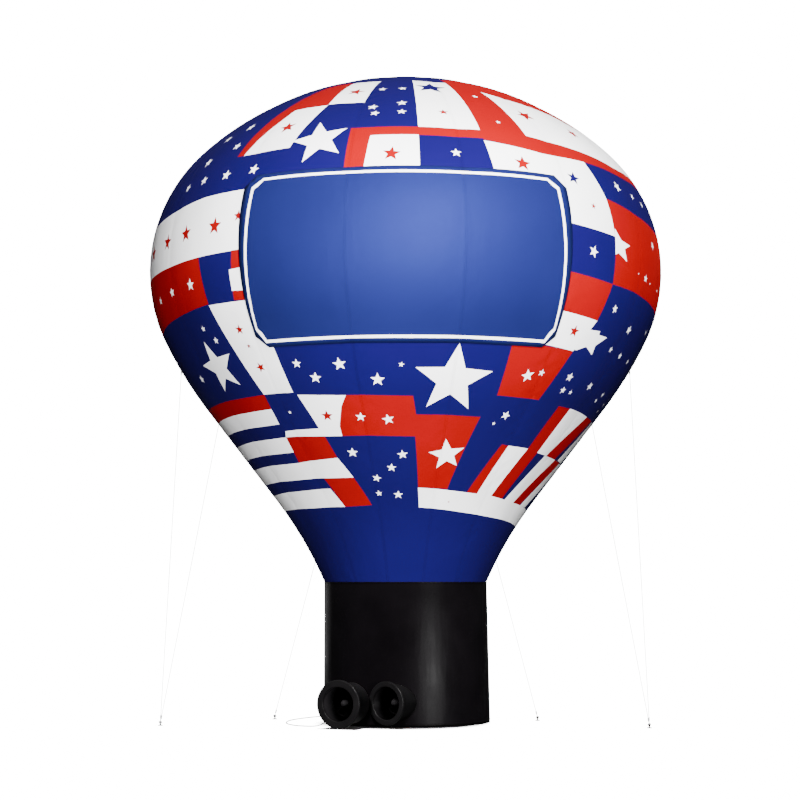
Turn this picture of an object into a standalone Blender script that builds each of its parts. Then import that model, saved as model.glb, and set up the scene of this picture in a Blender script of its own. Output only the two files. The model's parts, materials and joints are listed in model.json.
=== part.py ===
# A cold-air inflatable advertising balloon in the shape of a hot-air balloon, 6.1 m tall.
# Origin: centre of the base on the ground. +Z up, front towards -Y, +X to the right. Metres.
# A printed envelope of fabric gores stands on a drum of black fabric, two fans on the floor
# keep it full of air, and six guy ropes hold it to four ground stakes.

import math

import bmesh
import bpy
from mathutils import Matrix, Vector

# Envelope: radius, then degrees turned, for each arc of its outline from the crown down
CROWN_ARC = (2.862, 44.19)
SHOULDER_ARC = (1.477, 72.50)
SIDE_ARC = (3.907, 10.98)
CONE_LENGTH = 1.076
FLARE_ARC = (3.723, 13.91)
ARC_STEPS = (7, 9, 2)
FLARE_STEPS = 4
SKIRT_ROWS = 3
CROWN_CAP_ROWS = 1
GORES = 15
STEPS_AROUND = 4 * GORES
SHELL = 0.010
CROWN_SEAM_GAP = 0.0015
TOUCH_GAP = 0.0003
CUT_MARGIN = 0.100

# Base drum
NECK_HEIGHT = 1.308
FOOT_CURVE = 0.025
FOOT_HEIGHT = 0.040
FOOT_STEPS = 3

# Banner panel, three gores wide, on the front
BANNER_HALF_TURN = 36.0
BANNER_BOTTOM = 3.325
BANNER_TOP = 4.800
BANNER_CORNER = 0.110
BANNER_THICKNESS = 0.004
BANNER_GAP = 0.0006

# Guy ropes, their tie rings on the envelope and the stake heads
ROPE_RADIUS = 0.003
TIE_HEIGHT = 3.45
TIE_PATCH_RADIUS = 0.050
TIE_PATCH_THICKNESS = 0.006
TIE_RING_RADIUS = 0.026
TIE_RING_WIRE = 0.004
RING_STEPS = 16
WIRE_STEPS = 8
STAKE_FLANGE = 0.022
STAKE_FLANGE_EDGE = 0.006
STAKE_FLANGE_TOP = 0.008
STAKE_NECK = 0.007
STAKE_BALL_RADIUS = 0.014
STAKE_BALL_HEIGHT = 0.032
STAKE_BALL_TURN = 150.0
STAKE_BALL_STEPS = 6
STAKES = {
    "front_left": (-2.24, -0.53),
    "front_right": (2.19, -0.83),
    "back_left": (-1.25, 0.28),
    "back_right": (1.25, 0.09),
}
# name, stake, degrees of the tie ring round the envelope from the front, towards +X, and the
# degrees that the rope's foot is turned forward on the ball, to clear its neighbour
ROPES = (
    ("side_left", "front_left", -102.0, 8.0),
    ("rear_left", "front_left", -126.0, -8.0),
    ("back_left", "back_left", -168.0, 0.0),
    ("side_right", "front_right", 102.0, 8.0),
    ("rear_right", "front_right", 126.0, -8.0),
    ("back_right", "back_right", 168.0, 0.0),
)

# Blowers: name, mouth centre, degrees turned to the left, then radii of rim, drum, mouth and
# throat, and length with the neck that goes through the wall
BLOWERS = (
    ("left", (-0.605, -0.945, 0.218), 26.0, 0.216, 0.184, 0.155, 0.118, 0.425),
    ("right", (-0.178, -0.852, 0.221), 38.0, 0.196, 0.172, 0.150, 0.105, 0.345),
)
BLOWER_STEPS = 36
HUB_STEPS = 24
RIM_DEPTH = 0.032
RIM_TAPER = 0.006
LIP = 0.007
LIP_ROUND = 0.002
DRUM_LENGTH = 0.262
SHOULDER_END = 0.312
NECK_WALL = 0.010
CONE_DEPTH = 0.140
HUB_RADIUS = 0.040
HUB_FRONT = -0.150
HUB_BACK = -0.198
NOSE_LENGTH = 0.050
NOSE_STEPS = 3
BLADES = 7
BLADE_CHORD = 0.046
BLADE_THICKNESS = 0.004
BLADE_PITCH = 38.0
BLADE_SINK = 0.004
TIP_CLEARANCE = 0.006
SHAFT_RADIUS = 0.008
SHAFT_CLEARANCE = 0.0005
SHAFT_LENGTH = 0.034
SHAFT_END_ROOM = 0.002
MOTOR_RADIUS = 0.044
MOTOR_FRONT = -0.204
MOTOR_BACK = -0.315
MOTOR_FRONT_BEVEL = 0.006
MOTOR_BACK_BEVEL = 0.010
VANES = 4
VANE_THICKNESS = 0.004
VANE_INSET = 0.004
STATOR_FRONT = -0.235
STATOR_BACK = -0.275
RING_WALL = 0.006

# Power lead of the left blower
LEAD_RADIUS = 0.0045
GLAND_PLACE = -0.215
GLAND_DROP = 35.0
GLAND_LENGTH = 0.030
GLAND_RADIUS = 0.010
GLAND_END_RADIUS = 0.0065
GLAND_FLANGE = 0.014
GLAND_FLANGE_DEPTH = 0.006
GLAND_FLANGE_TOP = 0.008
GLAND_STEPS = 16
LEAD_START = 0.012
COIL_CENTRE = (0.060, 1.060)
COIL_MIDDLE_RADIUS = 0.0495
COIL_TURNS_ACROSS = 3
COIL_LAYERS = 2
COIL_STEPS = 32
TAIL_START = 0.033
TAIL_RISE = 0.040
PLUG_SIZE = (0.048, 0.030, 0.024)
PLUG_BACK = 0.190
BLADE_PIN = (0.018, 0.0015, 0.0065)
BLADE_PIN_APART = 0.0127
BLADE_PIN_RAISED = 0.003
EARTH_PIN = (0.018, 0.0048, 0.0048)
EARTH_PIN_DROP = 0.006
PIN_SINK = 0.002
# The lead's way from the gland down to the floor and round the base to the coil behind it
LEAD_ROUTE = (
    (-0.730, -0.646, 0.0400),
    (-0.778, -0.652, 0.0135),
    (-0.835, -0.656, 0.0055),
    (-0.890, -0.648, 0.0048),
    (-0.945, -0.620, 0.0048),
    (-1.000, -0.562, 0.0048),
    (-1.050, -0.465, 0.0048),
    (-1.090, -0.345, 0.0048),
    (-1.110, -0.210, 0.0048),
    (-1.110, -0.060, 0.0048),
    (-1.088, 0.095, 0.0048),
    (-1.040, 0.250, 0.0048),
    (-0.970, 0.400, 0.0048),
    (-0.880, 0.545, 0.0048),
    (-0.770, 0.680, 0.0048),
    (-0.640, 0.800, 0.0048),
    (-0.500, 0.895, 0.0048),
    (-0.350, 0.960, 0.0048),
    (-0.200, 0.993, 0.0048),
    (-0.080, 1.0012, 0.0048),
    (0.0270, 1.0015, 0.0048),
)
LEAD_POINTS = 64
CURVE_STEPS = 24

PARTS = "inflatable_balloon"
CUTTERS = "cutters"


def clear_scene():
    for thing in list(bpy.data.objects):
        bpy.data.objects.remove(thing, do_unlink=True)
    for name in (PARTS, CUTTERS):
        found = bpy.data.collections.get(name)
        if found:
            bpy.data.collections.remove(found)
        made = bpy.data.collections.new(name)
        bpy.context.scene.collection.children.link(made)


def material(name, colour, roughness, metallic=0.0):
    made = bpy.data.materials.get(name) or bpy.data.materials.new(name)
    made.use_nodes = True
    shader = made.node_tree.nodes["Principled BSDF"]
    shader.inputs["Base Color"].default_value = (*colour, 1.0)
    shader.inputs["Roughness"].default_value = roughness
    shader.inputs["Metallic"].default_value = metallic
    return made


def add_object(name, data, finish, parent=None):
    made = bpy.data.objects.new(name, data)
    data.materials.append(finish)
    made.parent = parent
    bpy.data.collections[PARTS].objects.link(made)
    return made


def make_cutter(thing):
    """Moves an object out of the parts, to be used only by a Boolean."""
    bpy.data.collections[PARTS].objects.unlink(thing)
    bpy.data.collections[CUTTERS].objects.link(thing)
    thing.hide_render = True
    thing.display_type = "WIRE"


def boolean(target, other, operation):
    make_cutter(other)
    step = target.modifiers.new(other.name, "BOOLEAN")
    step.operation = operation
    step.object = other
    step.solver = "EXACT"


def turned(name, profile, finish, steps, closed=False, parent=None):
    """A profile of (radius, height) points turned about Z. It runs down its outer side."""
    mesh = bpy.data.meshes.new(name)
    links = [(i, i + 1) for i in range(len(profile) - 1)]
    if closed:
        links.append((len(profile) - 1, 0))
    mesh.from_pydata([(r, 0.0, z) for r, z in profile], links, [])
    made = add_object(name, mesh, finish, parent)
    screw = made.modifiers.new("Turn", "SCREW")
    screw.steps = steps
    screw.render_steps = steps
    screw.use_merge_vertices = True
    screw.merge_threshold = 0.00001
    return made


def mesh_from(name, build, finish, parent=None):
    """An object whose mesh is made by build(bm)."""
    mesh = bpy.data.meshes.new(name)
    bm = bmesh.new()
    build(bm)
    bm.to_mesh(mesh)
    bm.free()
    return add_object(name, mesh, finish, parent)


def add_box(bm, size, place):
    """A box of this size, moved by the matrix place."""
    bmesh.ops.create_cube(bm, size=1.0, matrix=place @ Matrix.Diagonal((*size, 1.0)))


def tube(name, points, radius, finish, rounding=2):
    curve = bpy.data.curves.new(name, "CURVE")
    curve.dimensions = "3D"
    curve.bevel_depth = radius
    curve.bevel_resolution = rounding
    curve.use_fill_caps = True
    spline = curve.splines.new("POLY")
    spline.points.add(len(points) - 1)
    for held, point in zip(spline.points, points):
        held.co = (*point, 1.0)
    return add_object(name, curve, finish)


def shade_round(thing, angle=math.radians(40)):
    thing.data.shade_smooth()
    thing.data.set_sharp_from_angle(angle=angle)


def arc_points(start, heading, radius, degrees, steps):
    """Points along an arc that turns the outline down, or up where radius is negative.

    start is (radius, height), and heading is the outline's slope below level, in radians.
    """
    r0, z0 = start
    points = []
    for k in range(1, steps + 1):
        turn = heading + math.copysign(math.radians(degrees), radius) * k / steps
        points.append(
            (
                r0 + radius * (math.sin(turn) - math.sin(heading)),
                z0 + radius * (math.cos(turn) - math.cos(heading)),
            )
        )
    return points, turn


def outline():
    """(radius, height) points of the envelope from the crown to the neck."""
    points, heading = [(0.0, 0.0)], 0.0
    for (radius, degrees), steps in zip((CROWN_ARC, SHOULDER_ARC, SIDE_ARC), ARC_STEPS):
        more, heading = arc_points(points[-1], heading, radius, degrees, steps)
        points += more
    r, z = points[-1]
    points.append((r + CONE_LENGTH * math.cos(heading), z - CONE_LENGTH * math.sin(heading)))
    more, heading = arc_points(points[-1], heading, -FLARE_ARC[0], FLARE_ARC[1], FLARE_STEPS)
    points += more
    lift = NECK_HEIGHT - points[-1][1]
    return [(r, z + lift) for r, z in points]


OUTLINE = outline()
NECK_RADIUS = OUTLINE[-1][0]


def skin_radius(height):
    """Radius of the envelope's outer skin at a height, read along its outline."""
    for (r0, z0), (r1, z1) in zip(OUTLINE, OUTLINE[1:]):
        if z1 <= height <= z0:
            return r0 + (r1 - r0) * (z0 - height) / (z0 - z1)
    raise ValueError(f"no skin at height {height}")


def skin_normal(turn, height):
    """Outward direction of the skin, where turn is the angle from the front towards +X."""
    small = 0.02
    slope = (skin_radius(height + small) - skin_radius(height - small)) / (2 * small)
    return Vector((math.sin(turn), -math.cos(turn), -slope)).normalized()


def skin_point(turn, height, out=0.0):
    radius = skin_radius(height)
    on_skin = Vector((radius * math.sin(turn), -radius * math.cos(turn), height))
    return on_skin + out * skin_normal(turn, height)


def shortened(points, start_gap, end_gap):
    """The points with a gap left at either end of their line."""
    first, second = Vector(points[0]), Vector(points[1])
    last, before = Vector(points[-1]), Vector(points[-2])
    start = first + (second - first).normalized() * start_gap
    end = last + (before - last).normalized() * end_gap
    return [tuple(start), *points[1:-1], tuple(end)]


def fabric_shell(name, points, finish):
    """A stretch of the envelope: the outline turned about Z, its thickness inwards."""
    made = turned(name, points, finish, STEPS_AROUND)
    made.rotation_euler.z = -math.pi / 2
    wall = made.modifiers.new("Wall", "SOLIDIFY")
    wall.thickness = SHELL
    wall.offset = -1.0
    wall.use_even_offset = True
    return made


def make_envelope():
    printed = material("printed_fabric", (0.03, 0.06, 0.35), 0.45)
    blue = material("blue_fabric", (0.02, 0.05, 0.36), 0.45)
    cap_end = CROWN_CAP_ROWS + 1
    skirt_start = len(OUTLINE) - 1 - SKIRT_ROWS
    fabric_shell("crown_cap", OUTLINE[:cap_end], printed)
    middle = shortened(OUTLINE[cap_end - 1 : skirt_start + 1], CROWN_SEAM_GAP, TOUCH_GAP)
    fabric_shell("envelope", middle, printed)
    fabric_shell("skirt", OUTLINE[skirt_start:], blue)


def make_banner():
    """A thin panel that follows the skin: a flat grid with its corners cut, then bent on."""
    blue = material("banner_fabric", (0.05, 0.10, 0.45), 0.45)
    inner = [z for _, z in OUTLINE if BANNER_BOTTOM < z < BANNER_TOP]
    heights = [BANNER_BOTTOM, *sorted(inner), BANNER_TOP]
    half_turn = math.radians(BANNER_HALF_TURN)
    columns = round(2 * half_turn / (2 * math.pi / STEPS_AROUND))
    corner_turn = BANNER_CORNER / skin_radius(BANNER_TOP)

    def build(bm):
        turns = [half_turn * (2 * k / columns - 1) for k in range(columns + 1)]
        rows = [[bm.verts.new((t, 0.0, z)) for t in turns] for z in heights]
        for low, high in zip(rows, rows[1:]):
            for k in range(columns):
                bm.faces.new((low[k], low[k + 1], high[k + 1], high[k]))
        for side in (-1, 1):
            for edge, way in ((BANNER_BOTTOM, -1), (BANNER_TOP, 1)):
                place = Vector((side * (half_turn - corner_turn), 0.0, edge))
                lean = Vector((side * BANNER_CORNER, 0.0, way * corner_turn))
                bmesh.ops.bisect_plane(
                    bm,
                    geom=bm.verts[:] + bm.edges[:] + bm.faces[:],
                    plane_co=place,
                    plane_no=lean.normalized(),
                    clear_outer=True,
                )
        for vert in bm.verts:
            vert.co = skin_point(vert.co.x, vert.co.z, BANNER_GAP)

    made = mesh_from("banner", build, blue)
    wall = made.modifiers.new("Wall", "SOLIDIFY")
    wall.thickness = BANNER_THICKNESS
    wall.offset = 1.0
    return made


def blower_places():
    """Each blower's name, matrix and radii. Its own +Z points out of its mouth."""
    for name, mouth, turn, rim, drum, lip, throat, length in BLOWERS:
        spin = Matrix.Rotation(math.radians(-turn), 4, "Z")
        place = Matrix.Translation(mouth) @ spin @ Matrix.Rotation(math.pi / 2, 4, "X")
        yield name, place, rim, drum, lip, throat, length


def make_base():
    black = material("black_fabric", (0.012, 0.012, 0.013), 0.5)
    radius = NECK_RADIUS
    top = NECK_HEIGHT - TOUCH_GAP
    foot = []
    for k in range(FOOT_STEPS + 1):
        turn = math.pi / 2 * k / FOOT_STEPS
        inset, height = FOOT_CURVE * (1 - math.cos(turn)), FOOT_HEIGHT * (1 - math.sin(turn))
        foot.append((radius - inset, max(height, 0.0)))
    outside = [(radius, top), *foot]
    profile = outside + [(r - SHELL, z) for r, z in reversed(outside)]
    wall = turned("base_wall", profile, black, STEPS_AROUND, closed=True)
    wall.rotation_euler.z = -math.pi / 2
    for name, place, _, drum, _, throat, length in blower_places():
        bore = drum + TOUCH_GAP
        neck_bore = throat + NECK_WALL + TOUCH_GAP
        back = -length - CUT_MARGIN
        ends = [
            (0.0, CUT_MARGIN),
            (bore, CUT_MARGIN),
            (bore, -DRUM_LENGTH),
            (neck_bore, -SHOULDER_END),
            (neck_bore, back),
            (0.0, back),
        ]
        cutter = turned(f"{name}_inlet_cutter", ends, black, BLOWER_STEPS)
        cutter.matrix_world = place
        boolean(wall, cutter, "DIFFERENCE")

    floor_radius = radius - FOOT_CURVE - SHELL - TOUCH_GAP
    disc = [(0.0, SHELL), (floor_radius, SHELL), (floor_radius, 0.0), (0.0, 0.0)]
    floor = turned("base_floor", disc, black, STEPS_AROUND)
    floor.rotation_euler.z = -math.pi / 2


def make_housing(name, parent, rim, drum, mouth, throat, length):
    """A drum with a thick rim, a shoulder and a neck, and a cone inside that narrows to the throat."""
    plastic = material("black_plastic", (0.02, 0.02, 0.021), 0.42)
    neck = throat + NECK_WALL
    profile = [
        (rim - LIP, 0.0),
        (rim - LIP_ROUND, -LIP_ROUND),
        (rim, -LIP),
        (rim, -RIM_DEPTH),
        (drum, -RIM_DEPTH - RIM_TAPER),
        (drum, -DRUM_LENGTH),
        (neck, -SHOULDER_END),
        (neck, -length),
        (throat, -length),
        (throat, -CONE_DEPTH),
        (mouth, -LIP),
        (mouth + LIP_ROUND, -LIP_ROUND),
        (mouth + LIP, 0.0),
    ]
    turned(f"{name}_blower_housing", profile, plastic, BLOWER_STEPS, True, parent)


def make_motor(name, parent):
    """The motor and its shaft, which reaches forward into the fan's hub."""
    steel = material("motor_grey", (0.10, 0.10, 0.105), 0.45, 0.6)
    tip = MOTOR_FRONT + SHAFT_LENGTH
    profile = [
        (0.0, tip),
        (SHAFT_RADIUS, tip),
        (SHAFT_RADIUS, MOTOR_FRONT),
        (MOTOR_RADIUS - MOTOR_FRONT_BEVEL, MOTOR_FRONT),
        (MOTOR_RADIUS, MOTOR_FRONT - MOTOR_FRONT_BEVEL),
        (MOTOR_RADIUS, MOTOR_BACK + MOTOR_BACK_BEVEL),
        (MOTOR_RADIUS - MOTOR_BACK_BEVEL, MOTOR_BACK),
        (0.0, MOTOR_BACK),
    ]
    turned(f"{name}_motor", profile, steel, HUB_STEPS, parent=parent)


def make_stator(name, parent, throat):
    """A ring seated in the throat, with vanes to a ring round the motor."""
    plastic = material("black_plastic", (0.02, 0.02, 0.021), 0.42)
    outer = throat - TOUCH_GAP
    inner = MOTOR_RADIUS + TOUCH_GAP

    def ring(label, low, high, steps):
        profile = [
            (high, STATOR_FRONT),
            (high, STATOR_BACK),
            (low, STATOR_BACK),
            (low, STATOR_FRONT),
        ]
        return turned(label, profile, plastic, steps, True, parent)

    seat = ring(f"{name}_stator", outer - RING_WALL, outer, BLOWER_STEPS)
    collar = ring(f"{name}_motor_collar", inner, inner + RING_WALL, HUB_STEPS)
    middle = (STATOR_FRONT + STATOR_BACK) / 2
    depth = STATOR_FRONT - STATOR_BACK - 2 * VANE_INSET
    reach = (inner + outer) / 2
    span = outer - inner - RING_WALL

    def vanes(bm):
        for k in range(VANES):
            turn = Matrix.Rotation(2 * math.pi * (k + 0.5) / VANES, 4, "Z")
            place = turn @ Matrix.Translation((reach, 0.0, middle))
            add_box(bm, (span, VANE_THICKNESS, depth), place)

    boolean(seat, collar, "UNION")
    boolean(seat, mesh_from(f"{name}_vanes", vanes, plastic, parent), "UNION")


def make_fan(name, parent, throat):
    """A hub with a nose cone and blades, bored at the back for the motor's shaft."""
    plastic = material("fan_plastic", (0.05, 0.05, 0.052), 0.35)
    bore = SHAFT_RADIUS + SHAFT_CLEARANCE
    bore_end = MOTOR_FRONT + SHAFT_LENGTH + SHAFT_END_ROOM
    nose = []
    for k in range(NOSE_STEPS):
        turn = math.pi / 2 * k / NOSE_STEPS
        nose.append((HUB_RADIUS * math.sin(turn), HUB_FRONT + NOSE_LENGTH * math.cos(turn)))
    barrel = [(HUB_RADIUS, HUB_FRONT), (HUB_RADIUS, HUB_BACK)]
    shaft_hole = [(bore, HUB_BACK), (bore, bore_end), (0.0, bore_end)]
    hub = turned(f"{name}_fan", nose + barrel + shaft_hole, plastic, HUB_STEPS, parent=parent)
    middle = (HUB_FRONT + HUB_BACK) / 2
    root = HUB_RADIUS - BLADE_SINK
    tip = math.sqrt((throat - TIP_CLEARANCE) ** 2 - (BLADE_CHORD / 2) ** 2)
    pitch = Matrix.Rotation(math.radians(BLADE_PITCH), 4, "X")

    def blades(bm):
        for k in range(BLADES):
            turn = Matrix.Rotation(2 * math.pi * k / BLADES, 4, "Z")
            place = turn @ Matrix.Translation(((root + tip) / 2, 0.0, middle)) @ pitch
            add_box(bm, (tip - root, BLADE_CHORD, BLADE_THICKNESS), place)

    boolean(hub, mesh_from(f"{name}_blades", blades, plastic, parent), "UNION")


def make_blowers():
    for name, place, rim, drum, mouth, throat, length in blower_places():
        parent = bpy.data.objects.new(f"{name}_blower", None)
        bpy.data.collections[PARTS].objects.link(parent)
        parent.matrix_world = place
        make_housing(name, parent, rim, drum, mouth, throat, length)
        make_motor(name, parent)
        make_stator(name, parent, throat)
        make_fan(name, parent, throat)


def make_stakes():
    """Stake heads as they stand on the ground: a flange, a neck and a ball."""
    steel = material("stake_steel", (0.02, 0.02, 0.02), 0.4, 0.7)
    ball = []
    for k in range(STAKE_BALL_STEPS + 1):
        turn = math.radians(STAKE_BALL_TURN) * k / STAKE_BALL_STEPS
        height = STAKE_BALL_HEIGHT + STAKE_BALL_RADIUS * math.cos(turn)
        ball.append((STAKE_BALL_RADIUS * math.sin(turn), height))
    foot = [
        (STAKE_NECK, STAKE_FLANGE_TOP),
        (STAKE_FLANGE, STAKE_FLANGE_EDGE),
        (STAKE_FLANGE, 0.0),
        (0.0, 0.0),
    ]
    for name, (x, y) in STAKES.items():
        made = turned(f"stake_{name}", ball + foot, steel, RING_STEPS)
        made.location = (x, y, 0.0)


def make_ropes():
    """Each rope runs straight from a stake's ball to the ring sewn on the envelope."""
    white = material("white_rope", (0.8, 0.8, 0.8), 0.7)
    webbing = material("white_webbing", (0.7, 0.7, 0.7), 0.6)
    patch = TIE_PATCH_THICKNESS
    for name, stake, degrees, foot_turn in ROPES:
        turn = math.radians(degrees)
        normal = skin_normal(turn, TIE_HEIGHT)
        seat = skin_point(turn, TIE_HEIGHT)
        out = TOUCH_GAP + patch + TIE_RING_RADIUS - TIE_RING_WIRE / 2
        eye = seat + normal * out
        ball = Vector((*STAKES[stake], STAKE_BALL_HEIGHT))
        foot = Matrix.Rotation(math.radians(foot_turn), 3, "X") @ (eye - ball).normalized()
        start = ball + foot * (STAKE_BALL_RADIUS + TOUCH_GAP)
        along = (eye - start).normalized()
        ring_axis = normal.cross(along).normalized()

        disc_turn = normal.to_track_quat("Z", "Y").to_matrix().to_4x4()
        disc_place = Matrix.Translation(seat + normal * (TOUCH_GAP + patch / 2)) @ disc_turn

        def disc(bm):
            bmesh.ops.create_cone(
                bm,
                cap_ends=True,
                segments=RING_STEPS,
                radius1=TIE_PATCH_RADIUS,
                radius2=TIE_PATCH_RADIUS,
                depth=patch,
                matrix=disc_place,
            )

        holder = mesh_from(f"tie_ring_{name}", disc, webbing)
        circle = []
        for k in range(WIRE_STEPS):
            bend = 2 * math.pi * k / WIRE_STEPS
            reach = TIE_RING_RADIUS + TIE_RING_WIRE * math.cos(bend)
            circle.append((reach, -TIE_RING_WIRE * math.sin(bend)))
        ring = turned(f"ring_{name}", circle, webbing, RING_STEPS, closed=True)
        ring_turn = ring_axis.to_track_quat("Z", "Y").to_matrix().to_4x4()
        ring.matrix_world = Matrix.Translation(eye) @ ring_turn
        boolean(holder, ring, "UNION")

        end = eye - along * (TIE_RING_RADIUS + TIE_RING_WIRE + TOUCH_GAP)
        tube(f"guy_rope_{name}", [start, end], ROPE_RADIUS, white)


def smooth_route(points, count):
    """Points evenly spaced along a smooth curve through the given ones."""
    ways = [Vector(p) for p in points]
    ways = [2 * ways[0] - ways[1], *ways, 2 * ways[-1] - ways[-2]]
    fine = []
    for a, b, c, d in zip(ways, ways[1:], ways[2:], ways[3:]):
        for k in range(CURVE_STEPS):
            t = k / CURVE_STEPS
            fine.append(
                0.5
                * (
                    2 * b
                    + (c - a) * t
                    + (2 * a - 5 * b + 4 * c - d) * t**2
                    + (3 * b - a - 3 * c + d) * t**3
                )
            )
    fine.append(ways[-2])
    reach = [0.0]
    for a, b in zip(fine, fine[1:]):
        reach.append(reach[-1] + (b - a).length)
    even = []
    at = 0
    for k in range(count):
        wanted = reach[-1] * k / (count - 1)
        while at < len(fine) - 2 and reach[at + 1] < wanted:
            at += 1
        share = (wanted - reach[at]) / (reach[at + 1] - reach[at])
        even.append(fine[at].lerp(fine[at + 1], min(share, 1.0)))
    return even


def make_lead():
    """The left blower's lead: gland, the stretch on the floor, the coil, its tail and plug."""
    rubber = material("black_rubber", (0.015, 0.015, 0.015), 0.6)
    _, place, _, drum, _, _, _ = next(blower_places())
    drop = math.radians(GLAND_DROP)
    out = (place.to_3x3() @ Vector((-math.cos(drop), -math.sin(drop), 0.0))).normalized()
    centre = place @ Vector((0.0, 0.0, GLAND_PLACE))
    # the gland sits on the middle of a flat facet of the drum
    foot = centre + out * (drum * math.cos(math.pi / BLOWER_STEPS) + TOUCH_GAP)
    gland_turn = out.to_track_quat("Z", "Y").to_matrix().to_4x4()
    profile = [
        (0.0, GLAND_LENGTH),
        (GLAND_END_RADIUS, GLAND_LENGTH),
        (GLAND_RADIUS, GLAND_FLANGE_TOP),
        (GLAND_FLANGE, GLAND_FLANGE_DEPTH),
        (GLAND_FLANGE, 0.0),
        (0.0, 0.0),
    ]
    gland = turned("lead_gland", profile, rubber, GLAND_STEPS)
    gland.matrix_world = Matrix.Translation(foot) @ gland_turn

    exit_point = foot + out * (GLAND_LENGTH + TOUCH_GAP)
    free = exit_point + out * LEAD_START
    route = [exit_point, *smooth_route([free, *LEAD_ROUTE], LEAD_POINTS)]
    for point in route:
        point.z = max(point.z, LEAD_RADIUS + TOUCH_GAP)
    tube("power_lead", route, LEAD_RADIUS, rubber)

    half_across = COIL_TURNS_ACROSS * LEAD_RADIUS
    low, high = COIL_MIDDLE_RADIUS - half_across, COIL_MIDDLE_RADIUS + half_across
    height = COIL_LAYERS * 2 * LEAD_RADIUS
    ring = [(high, height), (high, TOUCH_GAP), (low, TOUCH_GAP), (low, height)]
    coil = turned("lead_coil", ring, rubber, COIL_STEPS, closed=True)
    coil.location = (*COIL_CENTRE, 0.0)

    line = COIL_CENTRE[1] - COIL_MIDDLE_RADIUS - half_across + LEAD_RADIUS
    upper = height - LEAD_RADIUS
    middle = PLUG_SIZE[2] / 2 + TOUCH_GAP
    tail = [(COIL_CENTRE[0] + TAIL_START, line, upper)]
    tail.append((PLUG_BACK - TAIL_RISE, line, middle))
    tail.append((PLUG_BACK - TOUCH_GAP, line, middle))
    tube("lead_tail", tail, LEAD_RADIUS, rubber)

    plug_middle = (PLUG_BACK + PLUG_SIZE[0] / 2, line, middle)
    front = PLUG_BACK + PLUG_SIZE[0] + BLADE_PIN[0] / 2 - PIN_SINK

    def body(bm):
        add_box(bm, PLUG_SIZE, Matrix.Translation(plug_middle))

    def blades(bm):
        for side in (-1, 1):
            at = (front, line + side * BLADE_PIN_APART / 2, middle + BLADE_PIN_RAISED)
            add_box(bm, BLADE_PIN, Matrix.Translation(at))
        at = (front, line, middle - EARTH_PIN_DROP)
        add_box(bm, EARTH_PIN, Matrix.Translation(at))

    plug = mesh_from("power_plug", body, rubber)
    boolean(plug, mesh_from("plug_blades", blades, rubber), "UNION")


def main():
    clear_scene()
    make_envelope()
    make_banner()
    make_base()
    make_blowers()
    make_stakes()
    make_ropes()
    make_lead()
    bpy.context.view_layer.update()
    for thing in bpy.data.collections[PARTS].objects:
        if thing.type == "MESH":
            shade_round(thing)


main()
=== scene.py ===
# An inflatable advertising balloon: printed envelope, blue skirt, black base, two blowers,
# six guy ropes and the left blower's power lead. Metres, +Z up, front towards -Y.
# Places on the envelope are (degrees from the front towards +X, height above the ground).

import json
import math
from functools import reduce

import bmesh
import bpy
import numpy as np
from mathutils import Matrix, Vector, noise
from mathutils.geometry import delaunay_2d_cdt

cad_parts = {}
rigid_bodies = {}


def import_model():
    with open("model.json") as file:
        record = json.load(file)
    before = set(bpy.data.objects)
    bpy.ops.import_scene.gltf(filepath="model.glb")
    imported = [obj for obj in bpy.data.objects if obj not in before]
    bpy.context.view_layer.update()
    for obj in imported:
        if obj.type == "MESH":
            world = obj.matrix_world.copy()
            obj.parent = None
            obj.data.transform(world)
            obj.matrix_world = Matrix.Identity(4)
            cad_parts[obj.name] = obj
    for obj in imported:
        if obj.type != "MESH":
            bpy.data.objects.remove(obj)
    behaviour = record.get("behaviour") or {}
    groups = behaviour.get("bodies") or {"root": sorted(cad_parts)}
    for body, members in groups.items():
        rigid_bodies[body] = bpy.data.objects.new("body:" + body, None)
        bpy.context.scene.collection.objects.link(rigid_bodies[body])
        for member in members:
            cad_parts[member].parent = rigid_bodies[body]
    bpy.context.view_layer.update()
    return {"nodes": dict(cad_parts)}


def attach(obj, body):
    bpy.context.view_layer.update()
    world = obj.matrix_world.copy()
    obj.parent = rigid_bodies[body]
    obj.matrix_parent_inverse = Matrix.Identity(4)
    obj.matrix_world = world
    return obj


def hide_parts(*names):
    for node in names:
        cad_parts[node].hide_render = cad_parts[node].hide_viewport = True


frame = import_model()
NODES = frame["nodes"]
BODY = "balloon"

# Envelope outline from the crown down: radius and degrees of each arc, as the solids have it
CROWN_ARC = (2.862, 44.19)
SHOULDER_ARC = (1.477, 72.50)
SIDE_ARC = (3.907, 10.98)
CONE_LENGTH = 1.076
FLARE_ARC = (3.723, 13.91)
NECK_HEIGHT = 1.308
ARC_STEPS = 80
CONE_STEPS = 60
CROWN_CAP_RADIUS = 0.3147
CROWN_HOLE = 0.03
PATCH_REACH = 0.1515
PATCH_LIFT = 0.0022
PATCH_WELD = 0.0005
SKIRT_TOP = 1.9002

# Gores: their seams pull in and the cloth between them swells
GORES = 15
GORE_TURN = 360.0 / GORES
GORE_SWELL = 0.008
PUCKER_DEPTH = 0.0014
PUCKER_LENGTH = 0.150
SEAM_ZONE = 0.55
# The swell is full from this radius on and this far above the neck; the banner presses it flat
FULL_RADIUS = 1.6
FULL_RISE = 0.5
BANNER_PRESS = 0.75
PRESS_TURN = 3.0
PRESS_HEIGHT = 0.10
GORE_COLUMNS = (0.0, 0.5, 1.2, 2.4, 4.5, 7.5, 10.5, 13.5, 16.5, 19.5, 21.6, 22.8, 23.5)
ROW_STEP = 0.045
EDGE_STEP = 0.050
CLEAR_OF_EDGES = 0.010
REGION_MARGIN = 0.004
TURN_SCALE = 2.0

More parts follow.
